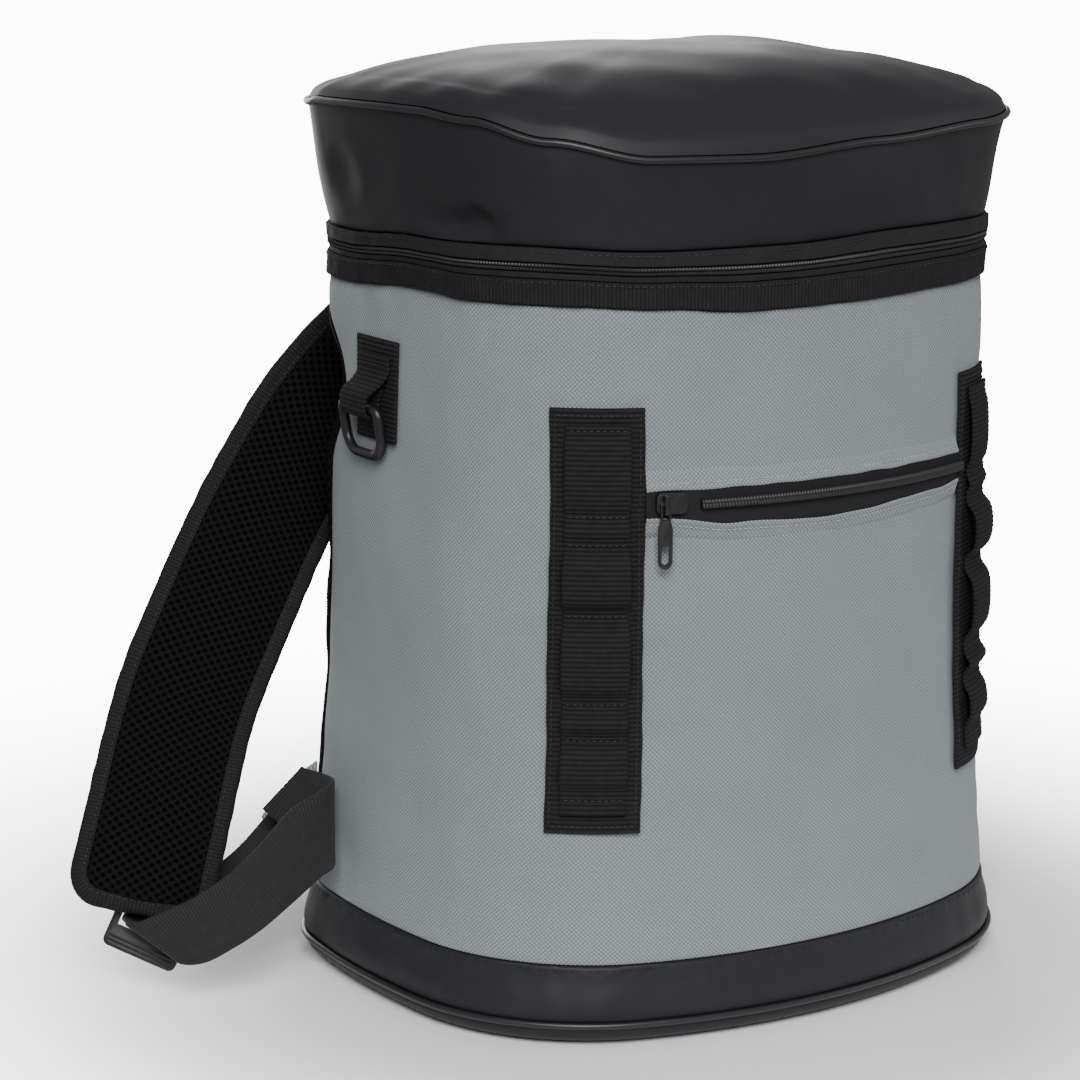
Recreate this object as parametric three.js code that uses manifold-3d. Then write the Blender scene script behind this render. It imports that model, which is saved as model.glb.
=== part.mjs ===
// Soft-sided cooler backpack, in millimetres: +Z up, front pocket towards -Y, back panel towards +Y.
// The origin is on the floor, in the middle of the flat base.
import * as THREE from "three";
import { LoftGeometry } from "three/addons/geometries/LoftGeometry.js";
import { mergeVertices } from "three/addons/utils/BufferGeometryUtils.js";
import Module from "manifold-3d";

const wasm = await Module();
wasm.setup();

// Plan of the bag at mid height: tangent arcs from the front centre to the flat back.
const FRONT = { radius: 236, turn: 20, steps: 3 };
const CORNER = { radius: 82.5, turn: 85, steps: 6 };
const SIDE = { radius: 340, turn: 98.5, steps: 3 };
const BACK_CORNER = { radius: 50.5, turn: 180, steps: 5 };
const BACK_STEPS = 1;

// Soft taper of the wall: how wide the plan is drawn at each height.
const TAPER = [
  { z: 0, scale: 1.086 },
  { z: 14, scale: 1.088 },
  { z: 34, scale: 1.056 },
  { z: 60, scale: 1.041 },
  { z: 95, scale: 1.022 },
  { z: 135, scale: 1.006 },
  { z: 180, scale: 1.0 },
  { z: 240, scale: 0.995 },
  { z: 302, scale: 0.992 },
  { z: 326, scale: 0.998 },
];

// Dents and swellings of the outer cloth: turn and z of the middle, depth, and half sizes.
const DENTS = [
  { turn: -126, z: 254, depth: 7.5, along: 40, up: 36 },
  { turn: -104, z: 292, depth: -2.0, along: 34, up: 26 },
  { turn: -60, z: 215, depth: 1.6, along: 46, up: 60 },
  { turn: -6, z: 150, depth: -2.4, along: 90, up: 70 },
  { turn: -75, z: 334, depth: 4.2, along: 30, up: 11 },
  { turn: -96, z: 346, depth: 1.8, along: 18, up: 16 },
  { turn: 118, z: 250, depth: 4.0, along: 40, up: 36 },
];

// Heights of the wavy seams by turn round the bag.
const RIM_LOW = [
  { turn: -180, z: 302 },
  { turn: -97, z: 301.5 },
  { turn: -88, z: 304.5 },
  { turn: -76, z: 303 },
  { turn: -41, z: 303 },
  { turn: -19, z: 301.6 },
  { turn: -10, z: 299.4 },
  { turn: 2, z: 300 },
  { turn: 15, z: 301.2 },
  { turn: 60, z: 302.5 },
  { turn: 180, z: 302 },
];
const RIM_HIGH = [
  { turn: -180, z: 324 },
  { turn: -97, z: 322.6 },
  { turn: -88, z: 325.4 },
  { turn: -54, z: 326 },
  { turn: -19, z: 324.3 },
  { turn: -6, z: 325 },
  { turn: 9, z: 327.6 },
  { turn: 60, z: 326.4 },
  { turn: 180, z: 324 },
];
const LID_SEAM = [
  { turn: -180, z: 373 },
  { turn: -112, z: 374 },
  { turn: -87, z: 377 },
  { turn: -68, z: 374.5 },
  { turn: -46, z: 367.5 },
  { turn: -19, z: 360.6 },
  { turn: -10, z: 360.4 },
  { turn: 4, z: 364.8 },
  { turn: 19, z: 368 },
  { turn: 60, z: 370 },
  { turn: 120, z: 376 },
  { turn: 180, z: 373 },
];

// Walls
const WRAP_WALL = 7;
const BACK_WALL_IN = 8;
const BACK_PAD_OUT = 7;
const BACK_TURN = 127;
const BASE_WALL = 5;
const BASE_TOP = 33.6;
const BASE_PROUD = 1;
const FLOOR_SEAM = 9.5;
const FLOOR_THICK = 8;
const LID_WALL = 5;
const LID_SCALE = 1.059;
const LID_PAD = 9;
const LID_CROWN = 400;
const PIPING_R = 1.5;
const PIPING_NOTCH = 2;
const GAP = 0.3;
const LIFT = 0.5;

// Zip band between the tub and the lid, bottom to top, as shares of its height.
const BAND = {
  binding: { from: 0, to: 0.46, inner: -4, outer: 2.2 },
  lower_tape: { from: 0.46, to: 0.575, inner: -2, outer: 1.0 },
  coil: { from: 0.575, to: 0.735, inner: -1.4, outer: 1.9 },
  upper_tape: { from: 0.735, to: 1, inner: -2, outer: 1.7 },
};

// Webbing and tape
const WEBBING = 1.5;
const WEBBING_W = 25;
const BACKING_W = 38;
const BACKING_T = 1.4;
const LADDER_TURN = 34.4;
const LADDER_TOP = 262.7;
const LADDER_BOTTOM = 89;
const LADDER_WEB_HALF = 12.7;
// The ladder webbing from top to bottom: its height and how far it stands off the backing.
const LADDER = [
  { z: 256, off: 0 },
  { z: 252, off: 0 },
  { z: 246, off: 1.4 },
  { z: 230, off: 2.0 },
  { z: 223.5, off: 1.2 },
  { z: 221, off: 0 },
  { z: 217.4, off: 0 },
  { z: 213.5, off: 1.4 },
  { z: 209.5, off: 0 },
  { z: 206, off: 0 },
  { z: 201, off: 3.6 },
  { z: 193.5, off: 4.8 },
  { z: 185.5, off: 3.6 },
  { z: 181.5, off: 0 },
  { z: 176.5, off: 0 },
  { z: 171, off: 3.4 },
  { z: 161, off: 4.4 },
  { z: 150.5, off: 3.2 },
  { z: 145.5, off: 0 },
  { z: 140, off: 0 },
  { z: 135, off: 2.8 },
  { z: 130, off: 0 },
  { z: 126, off: 0 },
  { z: 121, off: 2.4 },
  { z: 112, off: 2.6 },
  { z: 107.5, off: 0 },
  { z: 97.2, off: 0 },
];

// Pocket zip
const POCKET_TOP = 230;
const POCKET_COIL_Z = 223.2;
const POCKET_TAPE_T = 1.2;
const POCKET_COIL_R = 2.1;
const POCKET_LIP = [
  { turn: -20, z: 217 },
  { turn: -11, z: 213 },
  { turn: 0, z: 211.8 },
  { turn: 16, z: 214.4 },
  { turn: 21, z: 216.5 },
];
const POCKET_SLIDER_TURN = -17.9;
const POCKET_COIL_FROM = -14.8;
const MAIN_SLIDER_TURN = 108;

// Zip slider and pull, in the slider's own frame: X along the zip, -Y out, Z up.
const SLIDER = { length: 12.8, height: 8.4, thick: 2.6 };
const BRIDGE = { x: -3.2, width: 1.6, reach: 3.4, height: 7.8, rod: 1.2 };
const PULL = { length: 27, width: 5.8, thick: 1.4, rim: 1.2, hole: 5.6, holeWidth: 2.6, eyeEnd: 4.2 };

// Side tab with an oval ring, on the left side
const TAB_SIDE_Y = 25;
const TAB_W = 34;
const TAB_TOP = 280.5;
const TAB_BOTTOM = 238;
const RING = { y: 31, width: 30, height: 20, topCorner: 3.2, wire: 2.2, topZ: 251.4, topOut: 6.4, lowOut: 3.4 };

// Shoulder strap: middle line, turn of its mesh side, and how much it takes of a swing to the back.
const STRAP = [
  { x: -34, y: 117, z: 279, face: 0, swing: 0 },
  { x: -58, y: 121, z: 269, face: -5, swing: 0.3 },
  { x: -80, y: 124, z: 254, face: -10, swing: 0.6 },
  { x: -103, y: 125, z: 231, face: -18, swing: 0.85 },
  { x: -124, y: 122, z: 205, face: -25, swing: 1 },
  { x: -141, y: 117, z: 184, face: -30, swing: 1 },
  { x: -164, y: 108, z: 153, face: -34, swing: 1 },
  { x: -188, y: 98, z: 118, face: -35, swing: 1 },
  { x: -215, y: 77, z: 72, face: -35, swing: 1 },
  { x: -231.5, y: 66, z: 37.5, face: -35, swing: 1 },
];
const STRAP_W = 62;
const STRAP_PAD = 10;
const STRAP_EDGE = 6.4;
const STRAP_STEPS = 15;
const BINDING_W = 7;
const END_ROUND = 15;
const TOP_ROUND = 6;
const ANCHOR = { x: -36, y: 111 };
const ANCHOR_Z = 286;
const ANCHOR_T = 2.4;
const RIGHT_SWING = 28;

// Ladder lock behind the foot of the strap, in its own frame: X along the bars, Z up.
const LOCK = { x: -222.5, y: 71, z: 28, bar: [0.707, -0.588, -0.388], face: [-0.558, -0.804, 0.207] };
const LOCK_SIZE = { width: 33, low: -13, high: 13, thick: 2.3, slotW: 26.4, corner: 3 };
const LOCK_SLOTS = [
  { low: 6.5, high: 10.6 },
  { low: -3.1, high: 3.7 },
];
const LOCK_RIB = { count: 3, pitch: 1.9, width: 1.1, rise: 0.8, span: 29, from: -12.2 };

// Adjuster webbing: upper and lower edge, row by row, and how much of the strap's swing a row takes.
const ADJUSTER_REAR = [
  { up: [-146, 87, 71], low: [-139.5, 76, 50], swing: 0 },
  { up: [-159, 84, 63], low: [-150, 72, 42], swing: 0 },
  { up: [-174, 79.5, 54], low: [-166, 68.5, 33], swing: 0.3 },
  { up: [-190, 76.5, 47], low: [-183, 65.5, 25.5], swing: 0.65 },
  { up: [-204.5, 74.5, 41.3], low: [-197.5, 64.5, 19.3], swing: 0.95 },
];
const ADJUSTER_FRONT = [
  { up: [-238, 61, 36], low: [-221, 45, 20], swing: 1 },
  { up: [-225, 54, 41], low: [-213, 40, 20], swing: 0.97 },
  { up: [-213, 45, 48.5], low: [-205, 34, 25.5], swing: 0.9 },
  { up: [-200, 38.5, 58.5], low: [-194, 27.5, 33.7], swing: 0.75 },
  { up: [-186, 40, 67], low: [-177.5, 28, 43], swing: 0.6 },
  { up: [-168.5, 44.5, 78.5], low: [-160.5, 31.5, 50.7], swing: 0.45 },
  { up: [-149, 45, 86], low: [-152, 38, 51], swing: 0.3 },
  { up: [-144.5, 49, 87.5], low: [-148, 43, 52], swing: 0.3 },
  { up: [-144, 55, 88], low: [-150, 52, 54], swing: 0.3 },
  { up: [-146, 61, 88.5], low: [-157, 62, 61], swing: 0.3 },
  { up: [-149, 66, 89], low: [-166, 73, 72], swing: 0.3 },
];
// Webbing path through the lock, hooked round its middle bar: shift along the bar, z, and out.
const LOCK_THREAD = [
  { shift: 6, z: 7, tilt: 0.3, out: -5.2 },
  { shift: 1, z: 3.4, tilt: 0.1, out: -3 },
  { shift: 0, z: 1.4, tilt: 0, out: -0.6 },
  { shift: 0, z: 0.8, tilt: 0, out: 2.4 },
  { shift: 0.5, z: 0.6, tilt: 0, out: 7 },
  { shift: 2.5, z: 0, tilt: 0.1, out: 12.4 },
];
// Keeper webbing, round the top bar and up behind the pad.
const KEEPER_THREAD = [
  { shift: -3, z: 18, tilt: -0.3, out: -2.3 },
  { shift: -1.5, z: 15.5, tilt: -0.15, out: -0.6 },
  { shift: 0, z: 13.7, tilt: 0, out: 2.4 },
  { shift: 0, z: 10.6, tilt: 0, out: 2.3 },
  { shift: 0, z: 9.1, tilt: 0, out: 1.7 },
  { shift: 0, z: 9.1, tilt: 0, out: -1.7 },
  { shift: 0, z: 10.6, tilt: 0, out: -2.4 },
  { shift: 0, z: 13.2, tilt: 0, out: -2.5 },
  { shift: -1.5, z: 16, tilt: -0.15, out: -2.6 },
  { shift: -3, z: 18, tilt: -0.3, out: -4.2 },
];
const WING = [
  { up: [-128.6, 88.4, 84], low: [-129.2, 89.4, 47], swing: 0 },
  { up: [-140, 90, 77], low: [-137, 86, 45], swing: 0 },
  { up: [-150, 90, 69], low: [-143, 81, 44], swing: 0 },
  { up: [-157, 88.5, 63], low: [-149, 76.5, 41], swing: 0 },
];
const WING_T = 2;

const finishes = {
  grey_cloth: { color: 0x8a9496, roughness: 0.95, metalness: 0 },
  coated_cloth: { color: 0x2b2b2e, roughness: 0.45, metalness: 0 },
  mesh_cloth: { color: 0x151515, roughness: 0.95, metalness: 0 },
  webbing: { color: 0x121212, roughness: 0.9, metalness: 0 },
  nylon: { color: 0x161616, roughness: 0.5, metalness: 0 },
  enamel: { color: 0x1a1a1a, roughness: 0.35, metalness: 0.6 },
};

const bag = new THREE.Group();
const radians = THREE.MathUtils.degToRad;
const lerp = THREE.MathUtils.lerp;

// Reads a column of a table at a value of its first column, straight between rows.
function lookup(table, key, value, column) {
  let i = 1;
  while (i < table.length - 1 && table[i][key] < value) i += 1;
  const low = table[i - 1];
  const high = table[i];
  const share = THREE.MathUtils.clamp((value - low[key]) / (high[key] - low[key]), 0, 1);
  return lerp(low[column], high[column], share);
}

// Same, eased between rows so that a seam has no corners.
function eased(table, key, value, column) {
  let i = 1;
  while (i < table.length - 1 && table[i][key] < value) i += 1;
  const low = table[i - 1];
  const high = table[i];
  const share = THREE.MathUtils.smoothstep(value, low[key], high[key]);
  return lerp(low[column], high[column], share);
}

// The right half of the plan as arcs, each with where it starts.
const arcs = [];
{
  let x = 0;
  let y = 0;
  let along = 0;
  let from = 0;
  for (const arc of [FRONT, CORNER, SIDE, BACK_CORNER]) {
    const a = radians(from);
    const b = radians(arc.turn);
    arcs.push({ ...arc, from, x, y, along, length: arc.radius * (b - a) });
    x += arc.radius * (Math.sin(b) - Math.sin(a));
    y += arc.radius * (Math.cos(a) - Math.cos(b));
    along += arc.radius * (b - a);
    from = arc.turn;
  }
  arcs.push({ back: true, x, y, along, length: x, steps: BACK_STEPS });
}
const DEPTH = arcs[4].y;
const HALF_LENGTH = arcs[4].along + arcs[4].length;

// Point, outward normal and turn of the plan at a distance along it; negative is the -X side.
function planAt(s) {
  const side = s < 0 ? -1 : 1;
  const d = Math.min(Math.abs(s), HALF_LENGTH);
  const arc = arcs.findLast((a) => d >= a.along - 1e-9) ?? arcs[0];
  const run = d - arc.along;
  if (arc.back) return { x: side * (arc.x - run), y: arc.y - DEPTH / 2, nx: 0, ny: 1, turn: side * 180 };
  const a = radians(arc.from);
  const b = a + run / arc.radius;
  return {
    x: side * (arc.x + arc.radius * (Math.sin(b) - Math.sin(a))),
    y: arc.y + arc.radius * (Math.cos(a) - Math.cos(b)) - DEPTH / 2,
    nx: side * Math.sin(b),
    ny: -Math.cos(b),
    turn: side * THREE.MathUtils.radToDeg(b),
  };
}

// Distance along the plan at which its normal has turned this far from the front.
function alongAt(turn) {
  const t = Math.abs(turn);
  const arc = arcs.find((a) => !a.back && t <= a.turn + 1e-9);
  return Math.sign(turn) * (arc.along + arc.radius * radians(t - arc.from));
}

// Distances at which walls are sectioned, between two ends, with the arcs' own steps.
function stations(from, to) {
  const half = [];
  for (const arc of arcs) {
    for (let i = 0; i < arc.steps; i += 1) half.push(arc.along + (arc.length * i) / arc.steps);
  }
  half.push(HALF_LENGTH);
  const all = [...half.slice(1).reverse().map((d) => -d), ...half];
  const near = 1.5;
  return [from, ...all.filter((d) => d > from + near && d < to - near), to];
}

function dent(s, z) {
  let depth = 0;
  for (const row of DENTS) {
    const ds = (s - alongAt(row.turn)) / row.along;
    const dz = (z - row.z) / row.up;
    const r = Math.hypot(ds, dz);
    if (r < 1) depth += row.depth * Math.cos((r * Math.PI) / 2) ** 2;
  }
  return depth;
}

// A point of the bag's outer skin, moved out along the plan's normal.
function skin(s, z, out = 0) {
  const p = planAt(s);
  const scale = eased(TAPER, "z", z, "scale");
  const o = out - dent(s, z);
  return new THREE.Vector3(p.x * scale + p.nx * o, p.y * scale + p.ny * o, z);
}

const rimLow = (s) => eased(RIM_LOW, "turn", planAt(s).turn, "z");
const rimHigh = (s) => eased(RIM_HIGH, "turn", planAt(s).turn, "z");
const lidSeam = (s) => eased(LID_SEAM, "turn", planAt(s).turn, "z");

// Lofts closed sections and turns the faces outwards. The ends are capped, or joined as a ring,
// or drawn together in points.
function loft(sections, ends = "capped") {
  const rows = ends === "ring" ? [...sections, sections[0]] : sections;
  const caps = { capStart: ends === "capped", capEnd: ends === "capped" };
  const made = new LoftGeometry(rows, caps);
  if (volumeOf(made) > 0) return made;
  return new LoftGeometry(rows.map((row) => [...row].reverse()), caps);
}

function volumeOf(geometry) {
  const at = geometry.getAttribute("position");
  const index = geometry.index;
  const corner = [new THREE.Vector3(), new THREE.Vector3(), new THREE.Vector3()];
  let six = 0;
  for (let i = 0; i < index.count; i += 3) {
    corner.forEach((c, j) => c.fromBufferAttribute(at, index.getX(i + j)));
    six += corner[0].dot(corner[1].cross(corner[2]));
  }
  return six / 6;
}

function solid(geometry) {
  const bare = geometry.clone();
  bare.deleteAttribute("normal");
  bare.deleteAttribute("uv");
  const merged = mergeVertices(bare, 1e-4);
  const mesh = new wasm.Mesh({
    numProp: 3,
    vertProperties: new Float32Array(merged.attributes.position.array),
    triVerts: new Uint32Array(merged.index.array),
  });
  return new wasm.Manifold(mesh);
}

function geometryOf(made) {
  const mesh = made.getMesh();
  const geometry = new THREE.BufferGeometry();
  geometry.setAttribute("position", new THREE.BufferAttribute(new Float32Array(mesh.vertProperties), 3));
  geometry.setIndex(new THREE.BufferAttribute(new Uint32Array(mesh.triVerts), 1));
  geometry.computeVertexNormals();
  return geometry;
}

function add(name, geometry, finish, parent = bag) {
  const mesh = new THREE.Mesh(geometry, new THREE.MeshStandardMaterial(finishes[finish]));
  mesh.name = name;
  parent.add(mesh);
  return mesh;
}

// Walls that go all the way round, from a profile of {z, out} rows at each distance.
function ringWall(name, finish, profile) {
  const round = stations(-HALF_LENGTH, HALF_LENGTH).slice(0, -1);
  add(name, loft(round.map(profile), "ring"), finish);
}

function baseBand(s) {
  const rows = [
    { z: FLOOR_SEAM + GAP / 2, out: -PIPING_NOTCH },
    { z: FLOOR_SEAM + PIPING_NOTCH, out: 0 },
    { z: 20, out: 0.6 },
    { z: BASE_TOP - 1.5, out: BASE_PROUD },
    { z: BASE_TOP, out: BASE_PROUD - 0.5 },
    { z: BASE_TOP, out: -BASE_WALL },
    { z: FLOOR_SEAM + GAP / 2, out: -BASE_WALL },
  ];
  return rows.map((row) => skin(s, row.z, row.out));
}

// The padded floor: flat to stand on, rounded up to the piped seam.
function floorPanel() {
  const rows = [
    { z: 0, out: -13 },
    { z: 1.4, out: -5 },
    { z: 4.2, out: -1 },
    { z: FLOOR_SEAM - PIPING_NOTCH, out: 0 },
    { z: FLOOR_SEAM - GAP / 2, out: -PIPING_NOTCH },
    { z: FLOOR_SEAM - GAP / 2, out: -BASE_WALL },
    { z: FLOOR_THICK, out: -BASE_WALL - 2 },
  ];
  const round = stations(-HALF_LENGTH, HALF_LENGTH).slice(0, -1);
  const rings = rows.map((row) => round.map((s) => skin(s, row.z, row.out)));
  const middle = (z) => round.map(() => new THREE.Vector3(0, 0, z));
  add("base_panel", loft([middle(0), ...rings, middle(FLOOR_THICK)], "points"), "coated_cloth");
}

// A round bead on a seam: out and up are measured from the seam's own line.
function beadSection(place) {
  const points = [];
  for (let i = 0; i < 6; i += 1) {
    const a = ((i + 0.5) * Math.PI) / 3;
    points.push(place(PIPING_R * Math.cos(a), PIPING_R * Math.sin(a)));
  }
  return points;
}

function wrapSection(s) {
  const low = BASE_TOP + GAP;
  const high = rimLow(s) - GAP;
  const shares = [0, 0.09, 0.2, 0.32, 0.45, 0.57, 0.68, 0.77, 0.85, 0.93, 1];
  const outer = shares.map((v) => skin(s, lerp(low, high, v), 0));
  const inner = [1, 0.85, 0.6, 0.3, 0].map((v) => skin(s, lerp(low, high, v), -WRAP_WALL));
  return [...outer, ...inner];
}

// The padded back swells out between its side seams and its top and bottom.
function backSection(s) {
  const edge = alongAt(BACK_TURN);
  const across = (Math.abs(s) - edge) / (HALF_LENGTH - edge);
  const swell = Math.min(1, Math.max(0, across) / 0.22) ** 0.5;
  const low = BASE_TOP + GAP;
  const high = rimLow(s) - GAP;
  const rows = [
    { v: 0, pad: 0 },
    { v: 0.05, pad: 0.6 },
    { v: 0.15, pad: 1 },
    { v: 0.5, pad: 1 },
    { v: 0.85, pad: 1 },
    { v: 0.95, pad: 0.6 },
    { v: 1, pad: 0 },
  ];
  const outer = rows.map((row) => skin(s, lerp(low, high, row.v), BACK_PAD_OUT * row.pad * swell));
  const inner = [1, 0.5, 0].map((v) => skin(s, lerp(low, high, v), -BACK_WALL_IN));
  return [...outer, ...inner];
}

function bandSection(part) {
  return (s) => {
    const low = rimLow(s);
    const high = rimHigh(s);
    const from = lerp(low, high, part.from) + GAP / 2;
    const to = lerp(low, high, part.to) - GAP / 2;
    const bevel = Math.min(0.6, (to - from) / 4);
    return [
      skin(s, from, part.inner),
      skin(s, from, part.outer - bevel),
      skin(s, from + bevel, part.outer),
      skin(s, to - bevel, part.outer),
      skin(s, to, part.outer - bevel),
      skin(s, to, part.inner),
    ];
  };
}

// Lid wall: from the zip band it flares out to the piped seam.
function lidPoint(s, v, out) {
  const low = rimHigh(s) + GAP / 2;
  const high = lidSeam(s);
  const z = lerp(low, high, v);
  const p = planAt(s);
  const scale = lerp(0.998, LID_SCALE, v ** 0.8);
  const o = out - dent(s, z);
  return new THREE.Vector3(p.x * scale + p.nx * o, p.y * scale + p.ny * o, z);
}

function lidWallSection(s) {
  const height = lidSeam(s) - rimHigh(s);
  const notch = 1 - PIPING_NOTCH / height;
  const top = 1 - GAP / height;
  const outer = [0, 0.2, 0.42, 0.66, 0.85, notch].map((v) => lidPoint(s, v, 0));
  const lip = [lidPoint(s, top, -PIPING_NOTCH), lidPoint(s, top, -LID_WALL)];
  const inner = [0.5, 0].map((v) => lidPoint(s, v, -LID_WALL));
  return [...outer, ...lip, ...inner];
}

// Dome of the lid top: share 0 at the middle, 1 at the seam.
function domePoint(s, share, drop) {
  const p = planAt(s);
  const seam = lidSeam(s);
  const rise = (1 - share ** 2.2) ** 0.55;
  const z = seam + (LID_CROWN - seam) * rise - drop;
  return new THREE.Vector3(p.x * LID_SCALE * share, p.y * LID_SCALE * share, z);
}

function lidTop() {
  const round = stations(-HALF_LENGTH, HALF_LENGTH).slice(0, -1);
  const under = [0, 0.45, 0.78, 0.93].map((v) => round.map((s) => domePoint(s, v, LID_PAD)));
  const lip = [
    round.map((s) => lidPoint(s, 1, -LID_WALL).setZ(lidSeam(s) + GAP)),
    round.map((s) => lidPoint(s, 1, -PIPING_NOTCH).setZ(lidSeam(s) + GAP)),
    round.map((s) => lidPoint(s, 1, -0.3).setZ(lidSeam(s) + PIPING_NOTCH)),
  ];
  const over = [0.985, 0.955, 0.9, 0.78, 0.55, 0.3, 0].map((v) => {
    const lift = v > 0.95 ? 1.2 : 0;
    return round.map((s) => domePoint(s, v, -lift));
  });
  add("lid_top_panel", loft([...under, ...lip, ...over], "points"), "coated_cloth");
}

// A strip that lies on the skin: rows of height, side edges as distances, and its two faces.
function skinStrip(rows, columns) {
  const shares = Array.from({ length: columns }, (_, i) => i / (columns - 1));
  const sections = rows.map((row) => {
    const face = (out) => shares.map((v) => skin(lerp(row.left, row.right, v), row.z, out));
    return [...face(row.outer), ...face(row.inner).reverse()];
  });
  return loft(sections);
}

function ladderStrip(side, label) {
  const middle = side * alongAt(LADDER_TURN);
  const edges = (half) => ({ left: middle - half, right: middle + half });
  const zs = Array.from({ length: 9 }, (_, i) => lerp(LADDER_TOP, LADDER_BOTTOM, i / 8));
  const backing = zs.map((z) => ({ z, ...edges(BACKING_W / 2), inner: LIFT, outer: LIFT + BACKING_T }));
  add(`ladder_backing_${label}`, skinStrip(backing, 6), "webbing");
  const base = 2 * LIFT + BACKING_T;
  const webbing = LADDER.map((row) => ({
    z: row.z,
    ...edges(LADDER_WEB_HALF),
    inner: base + row.off,
    outer: base + row.off + WEBBING,
  }));
  add(`ladder_webbing_${label}`, skinStrip(webbing, 3), "webbing");
}

function pocketZip() {
  const reach = alongAt(LADDER_TURN) - BACKING_W / 2 - GAP - 0.2;
  const count = 13;
  const tape = [];
  const coil = [];
  const coilFrom = alongAt(POCKET_COIL_FROM);
  for (let i = 0; i < count; i += 1) {
    const s = lerp(-reach, reach, i / (count - 1));
    const lip = eased(POCKET_LIP, "turn", planAt(s).turn, "z");
    const c = lerp(coilFrom, reach, i / (count - 1));
    const outer = GAP + POCKET_TAPE_T;
    tape.push([
      skin(s, POCKET_TOP, GAP),
      skin(s, POCKET_TOP, outer),
      skin(s, POCKET_COIL_Z, outer),
      skin(s, lip, outer),
      skin(s, lip, GAP),
      skin(s, POCKET_COIL_Z, GAP),
    ]);
    const ring = [];
    for (let j = 0; j < 6; j += 1) {
      const a = ((j + 0.5) * Math.PI) / 3;
      const out = outer + GAP + POCKET_COIL_R * 0.75 * (1 + Math.cos(a));
      ring.push(skin(c, POCKET_COIL_Z + POCKET_COIL_R * Math.sin(a), out));
    }
    coil.push(ring);
  }
  add("pocket_zip_tape", loft(tape), "webbing");
  add("pocket_zip_coil", loft(coil), "webbing");
}

function slab(shape, depth) {
  const made = new THREE.ExtrudeGeometry(shape, { depth, bevelEnabled: false, curveSegments: 3 });
  made.rotateX(Math.PI / 2);
  return made;
}

function roundedRect(x, z, width, height, corner) {
  const shape = new THREE.Shape();
  const right = x + width;
  const top = z + height;
  shape.moveTo(x + corner, z);
  shape.lineTo(right - corner, z);
  shape.absarc(right - corner, z + corner, corner, -Math.PI / 2, 0, false);
  shape.lineTo(right, top - corner);
  shape.absarc(right - corner, top - corner, corner, 0, Math.PI / 2, false);
  shape.lineTo(x + corner, top);
  shape.absarc(x + corner, top - corner, corner, Math.PI / 2, Math.PI, false);
  shape.lineTo(x, z + corner);
  shape.absarc(x + corner, z + corner, corner, Math.PI, 1.5 * Math.PI, false);
  return shape;
}

function rectangle(x, z, width, height) {
  const shape = new THREE.Shape();
  shape.moveTo(x, z);
  shape.lineTo(x + width, z);
  shape.lineTo(x + width, z + height);
  shape.lineTo(x, z + height);
  shape.closePath();
  return shape;
}

// Slab between two distances out from the wall, in a frame whose -Y points out.
function plate(shape, from, to) {
  return slab(shape, to - from).translate(0, -from, 0);
}

// Zip slider with an arch across it, and the pull that hangs in the arch.
function slider(label, s, z, out) {
  const frame = new THREE.Group();
  frame.position.copy(skin(s, z, out));
  frame.rotation.z = radians(planAt(s).turn);
  bag.add(frame);
  const body = solid(
    plate(roundedRect(-SLIDER.length / 2, -SLIDER.height / 2, SLIDER.length, SLIDER.height, 2.4), 0, SLIDER.thick),
  );
  const top = SLIDER.thick + BRIDGE.reach;
  const half = BRIDGE.height / 2;
  const left = BRIDGE.x - BRIDGE.width / 2;
  const arch = solid(plate(roundedRect(left, -half, BRIDGE.width, BRIDGE.height, 0.5), SLIDER.thick - 0.5, top));
  const room = { low: -half + BRIDGE.rod, height: BRIDGE.height - 2 * BRIDGE.rod };
  const hole = solid(
    plate(roundedRect(left - 1, room.low, BRIDGE.width + 2, room.height, 0.2), SLIDER.thick, top - BRIDGE.rod),
  );
  add(`${label}_zip_slider`, geometryOf(body.add(arch.subtract(hole))), "enamel", frame);

  const pivotOut = SLIDER.thick + BRIDGE.reach / 2 - BRIDGE.rod / 2;
  const shape = new THREE.Shape();
  const w = PULL.width / 2;
  const e = PULL.eyeEnd / 2;
  const low = PULL.rim / 2 - PULL.length;
  shape.moveTo(-e, PULL.rim / 2);
  shape.lineTo(-e, -7.4);
  shape.lineTo(-w, -9.6);
  shape.lineTo(-w, low + w);
  shape.absarc(0, low + w, w, Math.PI, 2 * Math.PI, false);
  shape.lineTo(w, -9.6);
  shape.lineTo(e, -7.4);
  shape.lineTo(e, PULL.rim / 2);
  shape.closePath();
  const eye = roundedRect(
    -PULL.holeWidth / 2, -PULL.rim / 2 - PULL.hole, PULL.holeWidth, PULL.hole, 0.4,
  );
  shape.holes.push(new THREE.Path(eye.getPoints(3).reverse()));
  const end = roundedRect(-1.7, low + 2, 3.4, 7.4, 1.6);
  shape.holes.push(new THREE.Path(end.getPoints(3).reverse()));
  const pull = add(`${label}_zip_pull`, slab(shape, PULL.thick), "enamel", frame);
  pull.position.set(BRIDGE.x, PULL.thick / 2 - pivotOut, 0);
}

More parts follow.
